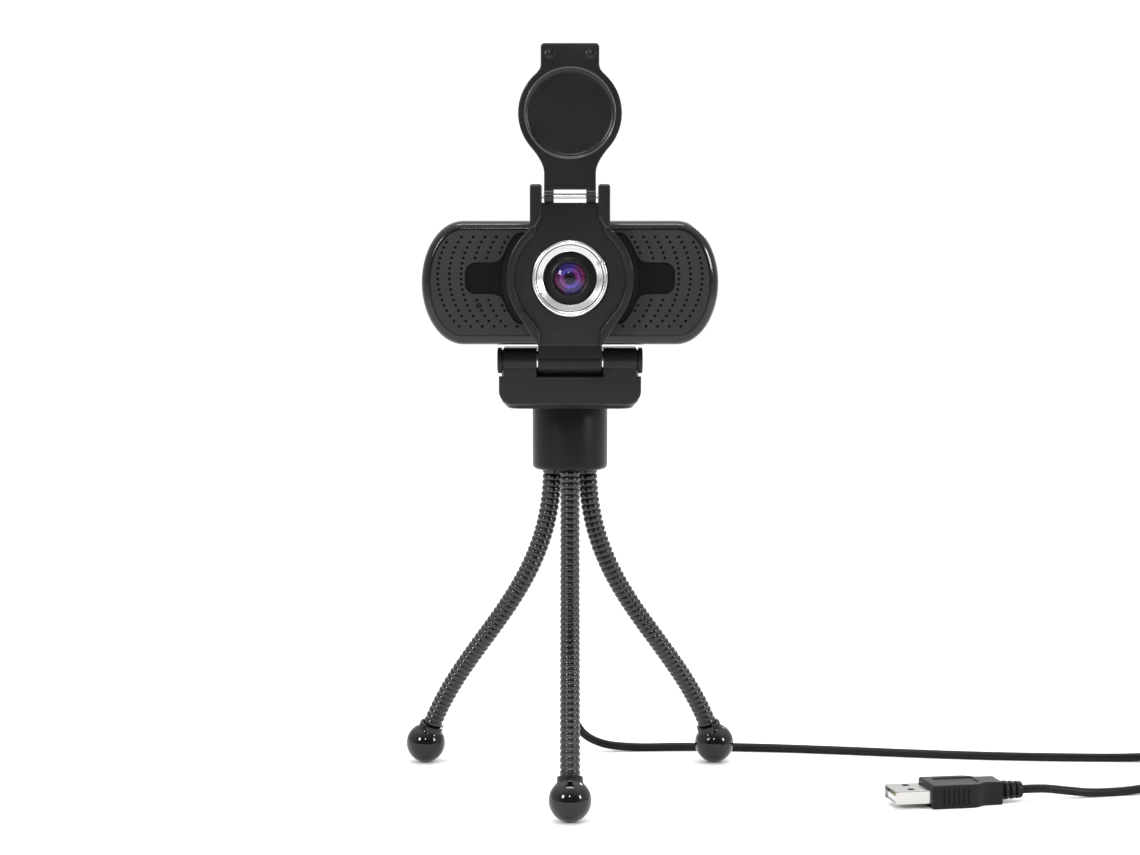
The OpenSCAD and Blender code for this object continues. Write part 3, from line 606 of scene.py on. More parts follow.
def sheet(name, loops, low, high, round_off, facing="y", fineness=3):
    """A flat piece with holes and rounded edges. The first loop is its outline. Loops are millimetres in
    the sheet's plane: X and Z for one that faces front, and X and Y for one that lies flat."""
    loops = [
        loop if (area_of(loop) > 0) == (number == 0) else loop[::-1]
        for number, loop in enumerate(loops)
    ]
    turns = [math.radians(90 * i / fineness) for i in range(fineness + 1)]
    steps = [(round_off * (1 - math.cos(a)), round_off * math.sin(a)) for a in turns]
    levels = [(low + round_off - rise, inset) for inset, rise in reversed(steps)]
    levels += [(high - round_off + rise, inset) for inset, rise in steps]
    fronts = [moved_in(loop, round_off) for loop in loops]
    edges = []
    for loop in loops:
        start = len(edges)
        edges += [(start + i, start + (i + 1) % len(loop)) for i in range(len(loop))]
    shape = bmesh.new()
    rows = []
    for level, inset in levels:
        spots = [p for loop in loops for p in moved_in(loop, inset)]
        places = [(u, level, v) if facing == "y" else (u, v, level) for u, v in spots]
        rows.append([shape.verts.new(Vector(place) * MM) for place in places])
    for under, over in zip(rows, rows[1:]):
        for a, b in edges:
            shape.faces.new((under[a], under[b], over[b], over[a]))
    # The two flat faces are triangles between the loops, kept where an odd number of loops surrounds them
    filled = delaunay_2d_cdt([Vector(p) for front in fronts for p in front], edges, [], 0, 1e-7, True)
    boxes = [
        (min(p[0] for p in f), max(p[0] for p in f), min(p[1] for p in f), max(p[1] for p in f))
        for f in fronts
    ]
    for corners in filled[2]:
        middle = sum((filled[0][c] for c in corners), Vector((0, 0))) / 3
        around = sum(
            inside(middle, front) for front, box in zip(fronts, boxes)
            if box[0] < middle.x < box[1] and box[2] < middle.y < box[3]
        )
        ends = [filled[3][c][0] for c in corners if filled[3][c]]
        if around % 2 == 1 and len(set(ends)) == 3:
            shape.faces.new([rows[0][c] for c in ends])
            shape.faces.new([rows[-1][c] for c in ends])
    bmesh.ops.recalc_face_normals(shape, faces=shape.faces)
    mesh = bpy.data.meshes.new(name)
    shape.to_mesh(mesh)
    shape.free()
    mesh.polygons.foreach_set("use_smooth", [True] * len(mesh.polygons))
    mesh.set_sharp_from_angle(angle=math.radians(50))
    made = bpy.data.objects.new(name, mesh)
    scene.collection.objects.link(made)
    return evened(made)


def circle(x, z, radius, steps=24):
    return [
        (x + radius * math.cos(a), z + radius * math.sin(a))
        for a in [2 * math.pi * i / steps for i in range(steps)]
    ]


def arc(x, z, radius, first, last, steps):
    """Points on an arc, angles in degrees."""
    return [
        (x + radius * math.cos(a), z + radius * math.sin(a))
        for a in [math.radians(first + (last - first) * i / steps) for i in range(steps + 1)]
    ]


def four_fold(quadrant):
    """A whole loop about the lens, from its upper right quarter. That runs from +X round to +Z."""
    right_up = [(x, lens_z + z) for x, z in quadrant]
    left_up = [(-x, lens_z + z) for x, z in reversed(quadrant)]
    left_down = [(-x, lens_z - z) for x, z in quadrant]
    right_down = [(x, lens_z - z) for x, z in reversed(quadrant)]
    return right_up + left_up + left_down + right_down


mic_at = (-29.2, lens_z - 8.8)
well_r = 22.4
well_top = 14.4
well_edge = math.degrees(math.asin(well_top / well_r))
well_loop = four_fold(
    arc(0, 0, well_r, 0.5, well_edge - 1.5, 16) + [(16.8, well_top), (8, well_top), (0.01, well_top)]
)
trim_abs = moulding(
    "trim ABS", (0.002, 0.002, 0.0022), (0.008, 0.008, 0.0085), 0.34, pits=1600, depth=0.012, rub=0.3,
    marks=0.03, level=0.1,
)
trim = sheet("face_trim_sheet", [head_outline(3.05), well_loop, circle(*mic_at, 0.95)], -33.2, -32.55, 0.08)
fitted(trim, trim_abs, "head", "gloss_trim", "face_trim")
well_black = moulding(
    "well black", (0.0035, 0.0035, 0.0037), (0.012, 0.012, 0.013), 0.42, pits=2000, depth=0.01, marks=0.03,
)
well_floor = four_fold(arc(0, 0, 23.2, 0.5, 38, 16) + [(17.4, 14.9), (0.01, 14.9)])
well = sheet("face_trim_well", [well_floor, circle(0, lens_z, 12.5, 64)], -32.54, -32.41, 0.02)
fitted(well, well_black, "head", "gloss_trim")


# ---- face panel ----
# A grey ABS sheet, pierced with curved rows of small dots that follow the head's round ends.
# The bars and the well round the lens are cut out of it, and one larger hole leads to the microphone.

dot_r = 0.475
dots = []
for row in range(19):
    up = (8.5 - row) * 1.69
    bow = 22.3 - math.sqrt(22.3 ** 2 - up ** 2)
    for k in range(6 if row < 6 or row > 12 else 3):
        for side in (-1, 1):
            x = side * (42.6 - 3.76 * k - bow)
            if abs(x - mic_at[0]) > 1.9 or abs(lens_z + 0.6 + up - mic_at[1]) > 1.5:
                dots.append((x, lens_z + 0.6 + up))


def bowed(start, pull, end, steps):
    """Points on a curve from start to end, bowed towards a pull point."""
    return [
        tuple((1 - t) ** 2 * a + 2 * t * (1 - t) * b + t * t * c for a, b, c in zip(start, pull, end))
        for t in [i / steps for i in range(steps + 1)]
    ]


bar_quarter = (
    [(33.8, 0.01)] + arc(30.4, 1.7, 3.4, 0, 90, 10) + [(28, 5.1)]
    + bowed((25.4, 5.1), (22.5, 5.1), (21.3, 7.6), 7)
    + arc(0, 0, 22.6, 22, 37.5, 8) + arc(16.4, 13.6, 1.0, 25, 90, 4) + [(8, 14.6), (0.01, 14.6)]
)
cutout = four_fold(bar_quarter)


def clear_of(spot, loop, gap):
    """True where a spot is further than a gap from every side of a loop."""
    for a, b in zip(loop, loop[1:] + loop[:1]):
        a, b = Vector(a), Vector(b)
        along = max(0, min(1, (Vector(spot) - a).dot(b - a) / (b - a).length_squared))
        if (Vector(spot) - a.lerp(b, along)).length < gap:
            return False
    return True


panel_edge = head_outline(3.06)
dots = [
    d for d in dots
    if clear_of(d, cutout, dot_r + 0.25) and clear_of(d, panel_edge, dot_r + 0.4) and not inside(d, cutout)
]
panel_abs = moulding(
    "panel ABS", (0.0185, 0.0185, 0.0192), (0.03, 0.03, 0.031), 0.42, pits=2400, depth=0.018, rub=0.6,
    marks=0.03,
)
panel = sheet(
    "face_panel_sheet",
    [panel_edge, cutout, circle(*mic_at, 0.95, 20)] + [circle(x, z, dot_r, 14) for x, z in dots],
    -34.0, -33.22, 0.08, fineness=2,
)
fitted(panel, panel_abs, "head", "grey_panel", "face_panel")


# ---- cover frame ----
# A vase-shaped plate moulded in dark satin ABS, fixed on the face. Raised rims follow its sides,
# and two ears at its top carry the privacy cover's hinge pin.

plate_y = -36.4
frame_r = 20.3
frame_foot = -21.5


def frame_side(inset, top, narrow=0.0):
    """Right edge of the frame about the lens, from the bottom up, moved in by an inset."""
    foot = [(max(10.2 - inset, narrow), frame_foot)]
    if narrow:
        foot.append((max(10.2 - inset + 2.0, narrow), frame_foot + 4.9))
    body = arc(0, 0, frame_r - inset, -32, 51, 34)
    body_top = frame_r * math.sin(math.radians(51))
    shoulder = [(12.8 - inset + 0.05, body_top + 1.2), (12.8 - inset, body_top + 2.6)]
    return foot + body + shoulder + [(12.8 - inset, top)]


def about_lens(points):
    return [(x, lens_z + z) for x, z in points]


def mirrored(points):
    return points + [(-x, z) for x, z in reversed(points)]


frame_abs = moulding(
    "frame ABS", (0.002, 0.002, 0.0022), (0.009, 0.009, 0.0095), 0.26, pits=2600, depth=0.016, rub=0.7,
    marks=0.03, level=0.4,
)
plate = sheet(
    "cover_frame_plate", [about_lens(mirrored(frame_side(0.15, 24.2))), circle(0, lens_z, 12.45, 96)],
    plate_y, -34.02, 0.25,
)
fitted(plate, frame_abs, "head", "frame_plastic", "cover_frame")
rim_band = frame_side(0, 20.8) + frame_side(2.3, 20.8, narrow=9.4)[::-1]
for name, side in (("left", -1), ("right", 1)):
    band = about_lens([(side * x, z) for x, z in rim_band])
    fitted(sheet(f"cover_frame_rim_{name}", [band], -40.5, -34.1, 0.3), frame_abs, "head", "frame_plastic")


def block(name, low, high, round_off, steps=3):
    """A moulded block with rounded edges, between two corners in millimetres."""
    shape = bmesh.new()
    bmesh.ops.create_cube(shape, size=1)
    size = Vector(high) - Vector(low)
    middle = (Vector(high) + Vector(low)) / 2
    for vert in shape.verts:
        vert.co = Vector((vert.co.x * size.x, vert.co.y * size.y, vert.co.z * size.z)) + middle
        vert.co *= MM
    bmesh.ops.bevel(
        shape, geom=shape.edges, offset=round_off * MM, segments=steps, affect="EDGES", profile=0.5,
        clamp_overlap=True,
    )
    mesh = bpy.data.meshes.new(name)
    shape.to_mesh(mesh)
    shape.free()
    mesh.polygons.foreach_set("use_smooth", [True] * len(mesh.polygons))
    made = bpy.data.objects.new(name, mesh)
    scene.collection.objects.link(made)
    return evened(made)


def joined(name, *pieces):
    """Several shapes made into one piece."""
    shape = bmesh.new()
    for made in pieces:
        whole = made.evaluated_get(bpy.context.evaluated_depsgraph_get())
        shape.from_mesh(bpy.data.meshes.new_from_object(whole))
    mesh = bpy.data.meshes.new(name)
    shape.to_mesh(mesh)
    shape.free()
    for made in pieces:
        bpy.data.objects.remove(made)
    mesh.polygons.foreach_set("use_smooth", [True] * len(mesh.polygons))
    mesh.set_sharp_from_angle(angle=math.radians(35))
    whole = bpy.data.objects.new(name, mesh)
    scene.collection.objects.link(whole)
    return evened(whole)


hinge = (0, -39.3, 201.25)
ear_edge = (
    [(12.8, 191.6), (12.8, 204.0)] + arc(12.0, 204.2, 0.8, 0, 90, 4) + arc(9.8, 204.2, 0.8, 90, 180, 4)
    + [(9.0, 195.2), (9.15, 194.3), (10.6, 191.9), (11.4, 190.9), (12.6, 190.8)]
)
ears = [
    sheet(f"ear {side}", [[(side * x, z) for x, z in ear_edge]], -42.0, -34.6, 0.55) for side in (-1, 1)
]
ear_pair = joined("cover_frame_ears", *ears)
fitted(ear_pair, frame_abs, "head", "frame_plastic")
pin_steel = metal_finish("pin steel", (0.42, 0.42, 0.43), 0.25)
pin = turned(
    "cover_hinge_pin", [(0, -11.5), (0.6, -11.5), (0.8, -11.3), (0.8, 11.3), (0.6, 11.5), (0, 11.5)],
    hinge, (1, 0, 0), 32,
)
fitted(pin, pin_steel, "head", "steel", "cover_pin")


# ---- lens ----
# A turned aluminium ring holds a black stepped barrel. The front glass is coated, so it shows violet and
# blue. The inner element behind it has painted reflections in violet, blue and rose, a black pupil that is
# painted shade, and a faint painted glow.

ring_front = -37.2


def lens_part(name, profile, sides=128, joined=False, sharp=24):
    return turned(name, profile, (0, ring_front, lens_z), (0, 1, 0), sides, joined, sharp)


cone = []
for groove in range(5):
    near, far = groove / 5, (groove + 0.72) / 5
    for t, lift in ((near, 0.0), (far, 0.0), (far + 0.02, 0.2), (near + 0.19, 0.2)):
        cone.append((11.0 - 2.3 * t, 0.26 + 1.35 * t + lift))
ring_lip = [
    (12.38, 4.2), (12.38, 0.62), (12.3, 0.42), (12.12, 0.2), (11.85, 0.04), (11.6, 0.0), (11.3, 0.04),
    (11.08, 0.14),
]
ring = lens_part(
    "lens_bezel_ring", ring_lip + cone + [(8.62, 1.72), (8.5, 1.95), (8.5, 4.2)], joined=True, sharp=20
)
notches = []
for angle in (28, 208):
    notch = block(f"notch {angle}", (9.9, -0.5, -0.42), (11.6, 1.6, 0.42), 0.1, 1)
    notch.data.transform(Matrix.Rotation(math.radians(-angle), 4, "Y"))
    notch.data.transform(Matrix.Translation(Vector((0, ring_front, lens_z)) * MM))
    notches.append(notch)
cut(ring, *notches)
bright_aluminium = metal_finish(
    "bright aluminium", (0.6, 0.6, 0.61), 0.22, brushed=0.4, grain=2600, depth=0.003,
)
fitted(ring, bright_aluminium, "head", "bright_ring", "lens_ring")

barrel_black = moulding(
    "barrel black", (0.006, 0.006, 0.0065), (0.03, 0.03, 0.032), 0.3, pits=2200, depth=0.01, marks=0.04,
)
barrel = lens_part("lens_stepped_barrel", [
    (5.2, 1.85), (5.35, 1.55), (5.75, 1.4), (6.02, 1.5), (6.08, 1.75), (6.08, 2.3), (6.3, 2.4), (6.9, 2.45),
    (7.0, 2.6), (7.0, 2.85), (7.5, 2.9), (7.62, 3.05), (7.62, 3.2), (8.2, 3.25), (8.44, 3.4), (8.44, 5.2),
    (7.0, 5.2), (7.0, 13.6), (3.4, 13.6), (3.4, 5.6), (5.2, 5.6),
], joined=True)
fitted(barrel, barrel_black, "head", "lens_black", "lens_barrel")

dome = [(5.14 * i / 16, 1.75 + 1.4 * (i / 16) ** 2) for i in range(17)]
glass = lens_part(
    "lens_front_glass", dome + [(5.14, 3.45), (5.14 * 0.8, 3.3), (5.14 * 0.5, 3.05), (0, 2.9)], sides=96,
)
coated_glass = bpy.data.materials.new("coated glass")
coated_glass.use_nodes = True
glass_tree = coated_glass.node_tree
glass_shader = glass_tree.nodes["Principled BSDF"]
glass_shader.inputs["Transmission Weight"].default_value = 1.0
glass_shader.inputs["Metallic"].default_value = 0.0
glass_shader.inputs["IOR"].default_value = 1.2
glass_shader.inputs["Specular Tint"].default_value = (0.45, 0.3, 0.9, 1)
glass_shader.inputs["Coat Weight"].default_value = 0.4
glass_shader.inputs["Coat Roughness"].default_value = 0.06
glass_place = glass_tree.nodes.new("ShaderNodeTexCoord")
glass_cloud = wired(
    glass_tree, "ShaderNodeTexNoise", values=[("Scale", 160.0), ("Detail", 1.0)],
    Vector=glass_place.outputs["Object"],
)
glass_tint = wired(
    glass_tree, "ShaderNodeMix", settings=[("data_type", "RGBA")],
    values=[(6, (0.86, 0.84, 1.0, 1)), (7, (1.0, 0.86, 0.97, 1))], i0=glass_cloud.outputs["Fac"],
)
glass_tree.links.new(glass_tint.outputs[2], glass_shader.inputs["Base Color"])
glass_haze = wired(
    glass_tree, "ShaderNodeMapRange", values=[("To Min", 0.0), ("To Max", 0.012)],
    Value=glass_cloud.outputs["Fac"],
)
glass_tree.links.new(glass_haze.outputs["Result"], glass_shader.inputs["Roughness"])
fitted(glass, coated_glass, "head", "coated_glass", "lens_glass")

# The inner element is a shallow cup. Its colour is painted reflection in rings outwards from a black pupil,
# which is painted shade, and it turns from blue on one side to rose on the other
inner = lens_part("lens_inner_element", [
    (0, 4.55), (1.2, 4.52), (1.75, 4.42), (1.95, 4.3), (2.3, 4.22), (3.1, 4.0), (3.9, 3.76), (4.6, 3.6),
    (5.12, 3.55), (5.12, 5.5), (0, 5.5),
], sides=96)
painted_reflection_coating = bpy.data.materials.new("violet coating, painted reflection")
painted_reflection_coating.use_nodes = True
coating_tree = painted_reflection_coating.node_tree
coating_shader = coating_tree.nodes["Principled BSDF"]
coating_shader.inputs["Metallic"].default_value = 0.0
coating_shader.inputs["Specular IOR Level"].default_value = 0.05
coating_place = coating_tree.nodes.new("ShaderNodeTexCoord")
from_lens = wired(
    coating_tree, "ShaderNodeVectorMath", settings=[("operation", "SUBTRACT")],
    values=[(1, (0, 0, lens_z * MM))], i0=coating_place.outputs["Object"],
)
flat_lens = wired(
    coating_tree, "ShaderNodeVectorMath", settings=[("operation", "MULTIPLY")],
    values=[(1, (1, 0, 1))], i0=from_lens.outputs["Vector"],
)
off_axis = wired(
    coating_tree, "ShaderNodeVectorMath", settings=[("operation", "LENGTH")], i0=flat_lens.outputs["Vector"]
)
share = wired(
    coating_tree, "ShaderNodeMapRange", values=[("From Min", 0.0), ("From Max", 0.00515)],
    Value=off_axis.outputs["Value"],
)


def colour_bands(tree, bands, source):
    """A ramp with one colour at each share of the way from the pupil to the rim."""
    ramp = tree.nodes.new("ShaderNodeValToRGB")
    while len(ramp.color_ramp.elements) < len(bands):
        ramp.color_ramp.elements.new(0.5)
    for element, (position, colour) in zip(ramp.color_ramp.elements, bands):
        element.position = position
        element.color = (*colour, 1)
    tree.links.new(source, ramp.inputs["Fac"])
    return ramp


# Painted reflection: these ramps give the coating's reflected colour from the black, painted-shade pupil
# out to the rim
blue_reflection_bands = colour_bands(coating_tree, [
    (0.0, (0.0, 0.0, 0.001)), (0.27, (0.001, 0.0, 0.004)), (0.33, (0.008, 0.004, 0.04)),
    (0.42, (0.032, 0.022, 0.18)), (0.55, (0.085, 0.065, 0.36)), (0.68, (0.015, 0.01, 0.09)),
    (0.84, (0.034, 0.028, 0.16)), (1.0, (0.002, 0.001, 0.008)),
], share.outputs["Result"])
rose_reflection_bands = colour_bands(coating_tree, [
    (0.0, (0.0, 0.0, 0.001)), (0.27, (0.002, 0.0, 0.003)), (0.33, (0.022, 0.003, 0.028)),
    (0.42, (0.09, 0.014, 0.095)), (0.55, (0.2, 0.04, 0.17)), (0.68, (0.028, 0.006, 0.06)),
    (0.84, (0.14, 0.02, 0.06)), (1.0, (0.006, 0.001, 0.008)),
], share.outputs["Result"])
# Painted reflection: blue on one side of the element and rose on the other
apart = coating_tree.nodes.new("ShaderNodeSeparateXYZ")
coating_tree.links.new(from_lens.outputs["Vector"], apart.inputs["Vector"])
angle_round = wired(
    coating_tree, "ShaderNodeMath", settings=[("operation", "ARCTAN2")],
    i0=apart.outputs["Z"], i1=apart.outputs["X"],
)
side_wave = wired(
    coating_tree, "ShaderNodeMath", settings=[("operation", "MULTIPLY_ADD")],
    values=[(1, 2.0), (2, 0.9)], i0=angle_round.outputs["Value"],
)
side_turn = wired(
    coating_tree, "ShaderNodeMath", settings=[("operation", "SINE")], i0=side_wave.outputs["Value"],
)
reflection_side_share = wired(
    coating_tree, "ShaderNodeMapRange", values=[("From Min", -0.6), ("From Max", 0.6)],
    Value=side_turn.outputs["Value"],
)
painted_reflection_colour = wired(
    coating_tree, "ShaderNodeMix", settings=[("data_type", "RGBA")],
    i0=reflection_side_share.outputs["Result"], i6=blue_reflection_bands.outputs["Color"], i7=rose_reflection_bands.outputs["Color"],
)
coating_tree.links.new(painted_reflection_colour.outputs[2], coating_shader.inputs["Base Color"])
# The same colours also glow faintly. That is painted light, since the element is no lamp
coating_tree.links.new(painted_reflection_colour.outputs[2], coating_shader.inputs["Emission Color"])
coating_shader.inputs["Emission Strength"].default_value = 0.08
coating_haze = wired(
    coating_tree, "ShaderNodeMapRange", values=[("To Min", 0.12), ("To Max", 0.3)],
    Value=share.outputs["Result"],
)
coating_tree.links.new(coating_haze.outputs["Result"], coating_shader.inputs["Roughness"])
fitted(inner, painted_reflection_coating, "head", "coated_glass")


# ---- parts inside the head ----
# The circuit board is screwed to posts behind the face, with the image sensor under a black lens holder,
# the microphone can by its hole and the lead's socket. They show only when the shells are apart.

def painted(material, *nodes):
    """Gives carried-over solids their finish."""
    for node in nodes:
        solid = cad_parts[node]
        solid.data.materials.clear()
        solid.data.materials.append(material)


painted(painted_reflection_coating, "lens_rear_element")
painted(moulding("holder black", (0.01, 0.01, 0.01), (0.03, 0.03, 0.03), 0.5, pits=2400), "lens_holder")
sensor_glass = moulding(
    "sensor glass", (0.03, 0.06, 0.045), (0.05, 0.08, 0.06), 0.12, pits=1800, depth=0.004, coat=0.6,
)
painted(sensor_glass, "image_sensor")
solder_mask = moulding(
    "solder mask", (0.012, 0.11, 0.04), (0.2, 0.25, 0.15), 0.35, pits=1500, depth=0.03, coat=0.4,
)
painted(solder_mask, "main_board")
painted(moulding("socket nylon", (0.62, 0.58, 0.48), (0.7, 0.68, 0.6), 0.45, pits=1800), "lead_socket")
painted(metal_finish("can steel", (0.6, 0.6, 0.6), 0.3), "microphone", "board_screws")


# ---- neck and strain relief ----
# The neck under the head is a moulded block that ends in the middle knuckle of the tilt hinge.
# The lead leaves the back through a tapered, slotted strain relief in soft PVC.

tilt = (0, -14, 147.6)
satin_abs = moulding(
    "satin ABS", (0.010, 0.010, 0.0105), (0.024, 0.024, 0.025), 0.34, pits=2300, depth=0.018, rub=0.6,
    marks=0.03,
)


def barrel_between(name, x0, x1, centre, radius, edge, bore, sides=64):
    """A knuckle along X with rounded ends and a bore for its pin."""
    wall = [
        (radius - edge, x0), (radius - 0.3 * edge, x0 + 0.3 * edge), (radius, x0 + edge),
        (radius, x1 - edge), (radius - 0.3 * edge, x1 - 0.3 * edge), (radius - edge, x1),
    ]
    profile = [(bore, x0)] + wall + [(bore, x1)]
    return turned(name, profile, (0, centre[1], centre[2]), (1, 0, 0), sides, joined=True)


neck = joined(
    "head_neck_block",
    barrel_between("knuckle", -10.5, 10.5, tilt, 4.4, 0.3, bore=1.55),
    block("neck", (-10.5, -18.4, 148.4), (10.5, -9.6, 153.7), 0.5),
)
fitted(neck, satin_abs, "head", "gloss_shell", "head_neck")

gland_profile = [(0, -3), (2.5, -3), (2.5, 0.02), (3.45, 0.02), (3.6, 0.2), (3.55, 1.0)]
for rib in range(4):
    start = 1.5 + 1.9 * rib
    radius = 3.45 - 0.24 * rib
    gland_profile += [
        (radius - 0.75, start), (radius - 0.75, start + 0.7), (radius, start + 0.85),
        (radius - 0.08, start + 1.75),
    ]
gland_profile += [(2.3, 9.6), (2.0, 10.0), (1.52, 10.0), (0, 10.0)]
gland = turned("lead_strain_relief", gland_profile, (14, -7, 168), (0, 1, 0), 48)
soft_pvc = moulding(
    "soft PVC", (0.008, 0.008, 0.0088), (0.035, 0.035, 0.037), 0.48, pits=1700, depth=0.04, marks=0.03,
)
fitted(gland, soft_pvc, "head", "soft_black", "cable_gland")


# ---- privacy cover ----
# A round lid in charcoal ABS on a short neck, which swings on the pin over the lens. A polished bead, whose
# lighter grey is a painted highlight, runs round its shallow recess, and the finger tab at its free end has
# two small round stops.

lid_z = 227.5
lid_front, lid_back = -40.8, -37.8
shoulder = math.radians(-40)
shoulder_at = (16.5 * math.cos(shoulder), lid_z + 16.5 * math.sin(shoulder))
throat = bowed((8.25, lid_z - 19.0), (8.25, lid_z - 15.6), shoulder_at, 8)
lid_side = (
    [(5.2, 203.25), (5.2, 200.6), (8.25, 200.6)] + throat + arc(0, lid_z, 16.5, -37, 50, 40)
    + [(9.75, lid_z + 13.75), (9.4, lid_z + 14.6), (9.3, lid_z + 15.6)]
    + arc(8.1, lid_z + 20.8, 1.2, 0, 90, 6)
)
lid = sheet("privacy_cover_lid", [mirrored(lid_side)], lid_front, lid_back, 0.42)
recess = turned(
    "recess",
    [(0, -2), (14.2, -2), (14.2, -0.12), (14.05, 0.1), (13.6, 0.42), (13.1, 0.58), (12.6, 0.6), (0, 0.6)],
    (0, lid_front, lid_z), (0, 1, 0), 128,
)
cut(lid, recess)
evened(lid)
lid_knuckles = []
for side in (-1, 1):
    x0, x1 = sorted((side * 5.2, side * 8.25))
    lid_knuckles.append(barrel_between("lid knuckle", x0, x1, hinge, 2.2, 0.2, bore=0.85, sides=48))
    lid_knuckles.append(turned(
        "stop", [(0, -0.38), (1.45, -0.35), (1.6, -0.25), (1.6, 0), (0, 0)],
        (side * 6.5, lid_front + 0.02, lid_z + 18.6), (0, 1, 0), 32,
    ))
charcoal_abs = moulding(
    "charcoal ABS", (0.002, 0.002, 0.0022), (0.008, 0.008, 0.0085), 0.3, pits=2600, depth=0.018, rub=0.6,
    marks=0.03, level=0.3,
)
bead = turned(
    "bead",
    [
        (14.2, 0.3), (14.12, -0.05), (14.2, -0.22), (14.36, -0.3), (14.52, -0.22), (14.62, -0.05),
        (14.72, 0.3),
    ],
    (0, lid_front, lid_z), (0, 1, 0), 128, joined=True,
)
lid_whole = joined("privacy_cover", lid, *lid_knuckles)
fitted(lid_whole, charcoal_abs, "cover", "cover_plastic", "privacy_cover")
# The bead's gloss is its own, but its lighter grey is a painted highlight
polished_bead_painted_highlight = moulding(
    "polished bead, painted highlight", (0.045, 0.045, 0.047), (0.09, 0.09, 0.093), 0.16, pits=1800, depth=0.006, rub=0.5,
    marks=0.02, level=0.45,
)
fitted(bead, polished_bead_painted_highlight, "cover", "cover_plastic")


# ---- clip arm ----
# The folding arm, moulded in ABS, lies flat on the base. Its front end has the two outer knuckles of the
# tilt hinge and a rounded lip, and its back end the barrel of the fold hinge. A pad is let into it.

fold = (0, 43, 140.8)
arm_pieces = []
for side in (-1, 1):
    x0, x1 = sorted((side * 11.0, side * 22.0))
    arm_pieces.append(barrel_between("arm knuckle", x0, x1, tilt, 4.3, 0.25, bore=1.52))
    arm_pieces.append(block("strap", (x0, -17.6, 141.4), (x1, -10.6, 147.8), 0.5))
    arm_pieces.append(block("strap top", (x0, -14.0, 145.8), (x1, -5.4, 149.8), 0.6))
plan = (
    arc(21.0, -6.0, 2.5, 270, 360, 6) + arc(22.5, 46.0, 1.0, 0, 90, 4)
    + arc(-22.5, 46.0, 1.0, 90, 180, 4) + arc(-21.0, -6.0, 2.5, 180, 270, 6)
)
arm_plate = sheet("arm plate", [plan], 145.8, 149.8, 0.6, facing="z")
pad_pocket = block("pocket", (-19.5, 0, 144), (19.5, 36, 146.6), 0.3, 1)
cut(arm_plate, pad_pocket)
evened(arm_plate)
lip_outline = (
    arc(19.0, 137.5, 4.5, 0, -90, 10) + arc(-19.0, 137.5, 4.5, -90, -180, 10)
    + [(-23.5, 142.4), (23.5, 142.4)]
)
lip = sheet("lip", [lip_outline], -17.6, -14.0, 0.7)
rear_barrel = barrel_between("rear barrel", -15.05, 15.05, fold, 3.9, 0.25, bore=1.55)
rear_web = block("rear web", (-15.05, 41.8, 141.0), (15.05, 47.0, 148.6), 0.5)
arm = joined("clip_arm_moulding", *arm_pieces, arm_plate, lip, rear_barrel, rear_web)
clip_abs = moulding(
    "clip ABS", (0.0125, 0.0125, 0.0132), (0.026, 0.026, 0.027), 0.28, pits=2300, depth=0.016, rub=0.6,
    marks=0.03,
)
fitted(arm, clip_abs, "arm", "clip_plastic", "clip_arm")

pad_rubber = moulding(
    "pad rubber", (0.008, 0.008, 0.0088), (0.03, 0.03, 0.03), 0.7, pits=1500, depth=0.05, rub=0.3,
    marks=0.03,
)
arm_pad = sheet(
    "arm_pad_sheet",
    [
        arc(16.4, 33.0, 3.0, 0, 90, 6) + arc(-16.4, 33.0, 3.0, 90, 180, 6)
        + arc(-16.4, 3.0, 3.0, 180, 270, 6) + arc(16.4, 3.0, 3.0, 270, 360, 6)
    ],
    145.62, 146.58, 0.3, facing="z",
)
fitted(arm_pad, pad_rubber, "arm", "pad_rubber", "arm_pad")


# ---- tilt hinge ----
# A steel pin runs through the three knuckles, with a friction washer on each side of the middle one.
# A moulded cap with a groove round it closes each end.

cap_abs = moulding(
    "cap ABS", (0.012, 0.012, 0.0128), (0.028, 0.028, 0.03), 0.4, pits=2400, depth=0.02, rub=0.6,
    marks=0.03,
)
tilt_caps = []
for side in (-1, 1):
    cap = turned(
        "cap",
        [
            (1.52, 0.02), (3.6, 0.02), (3.6, 0.5), (4.05, 0.5), (4.28, 0.62), (4.3, 0.85), (4.3, 1.55),
            (4.22, 1.8), (4.0, 1.95), (3.75, 2.0), (3.3, 2.0), (3.15, 1.9), (0, 1.9), (0, 0.85),
            (1.52, 0.85),
        ],
        (side * 22.0, tilt[1], tilt[2]), (side, 0, 0), 64, joined=True,
    )
    tilt_caps.append(cap)
fitted(joined("tilt_end_caps", *tilt_caps), cap_abs, "arm", "cap_plastic", "tilt_caps")
washer_steel = metal_finish("washer steel", (0.55, 0.55, 0.56), 0.24)
painted(washer_steel, "tilt_washers")
painted(pin_steel, "tilt_pin", "fold_pin")


# ---- clip base ----
# A hollow moulded block with rounded front corners, closed below by a chamfered cover on four screws.
# Two lugs at its back hold the fold pin, and a soft pad lies on its top.

def base_plan(inset):
    """Plan of the base block: rounded front corners and small ones at the back, moved in by an inset."""
    half, front, back = 23 - inset, -9 + inset, 39 - inset
    r = 7.0 - inset
    return (
        arc(half - r, front + r, r, 270, 360, 10) + arc(half - 1.2, back - 1.2, 1.2, 0, 90, 4)
        + arc(-half + 1.2, back - 1.2, 1.2, 90, 180, 4) + arc(-half + r, front + r, r, 180, 270, 10)
    )


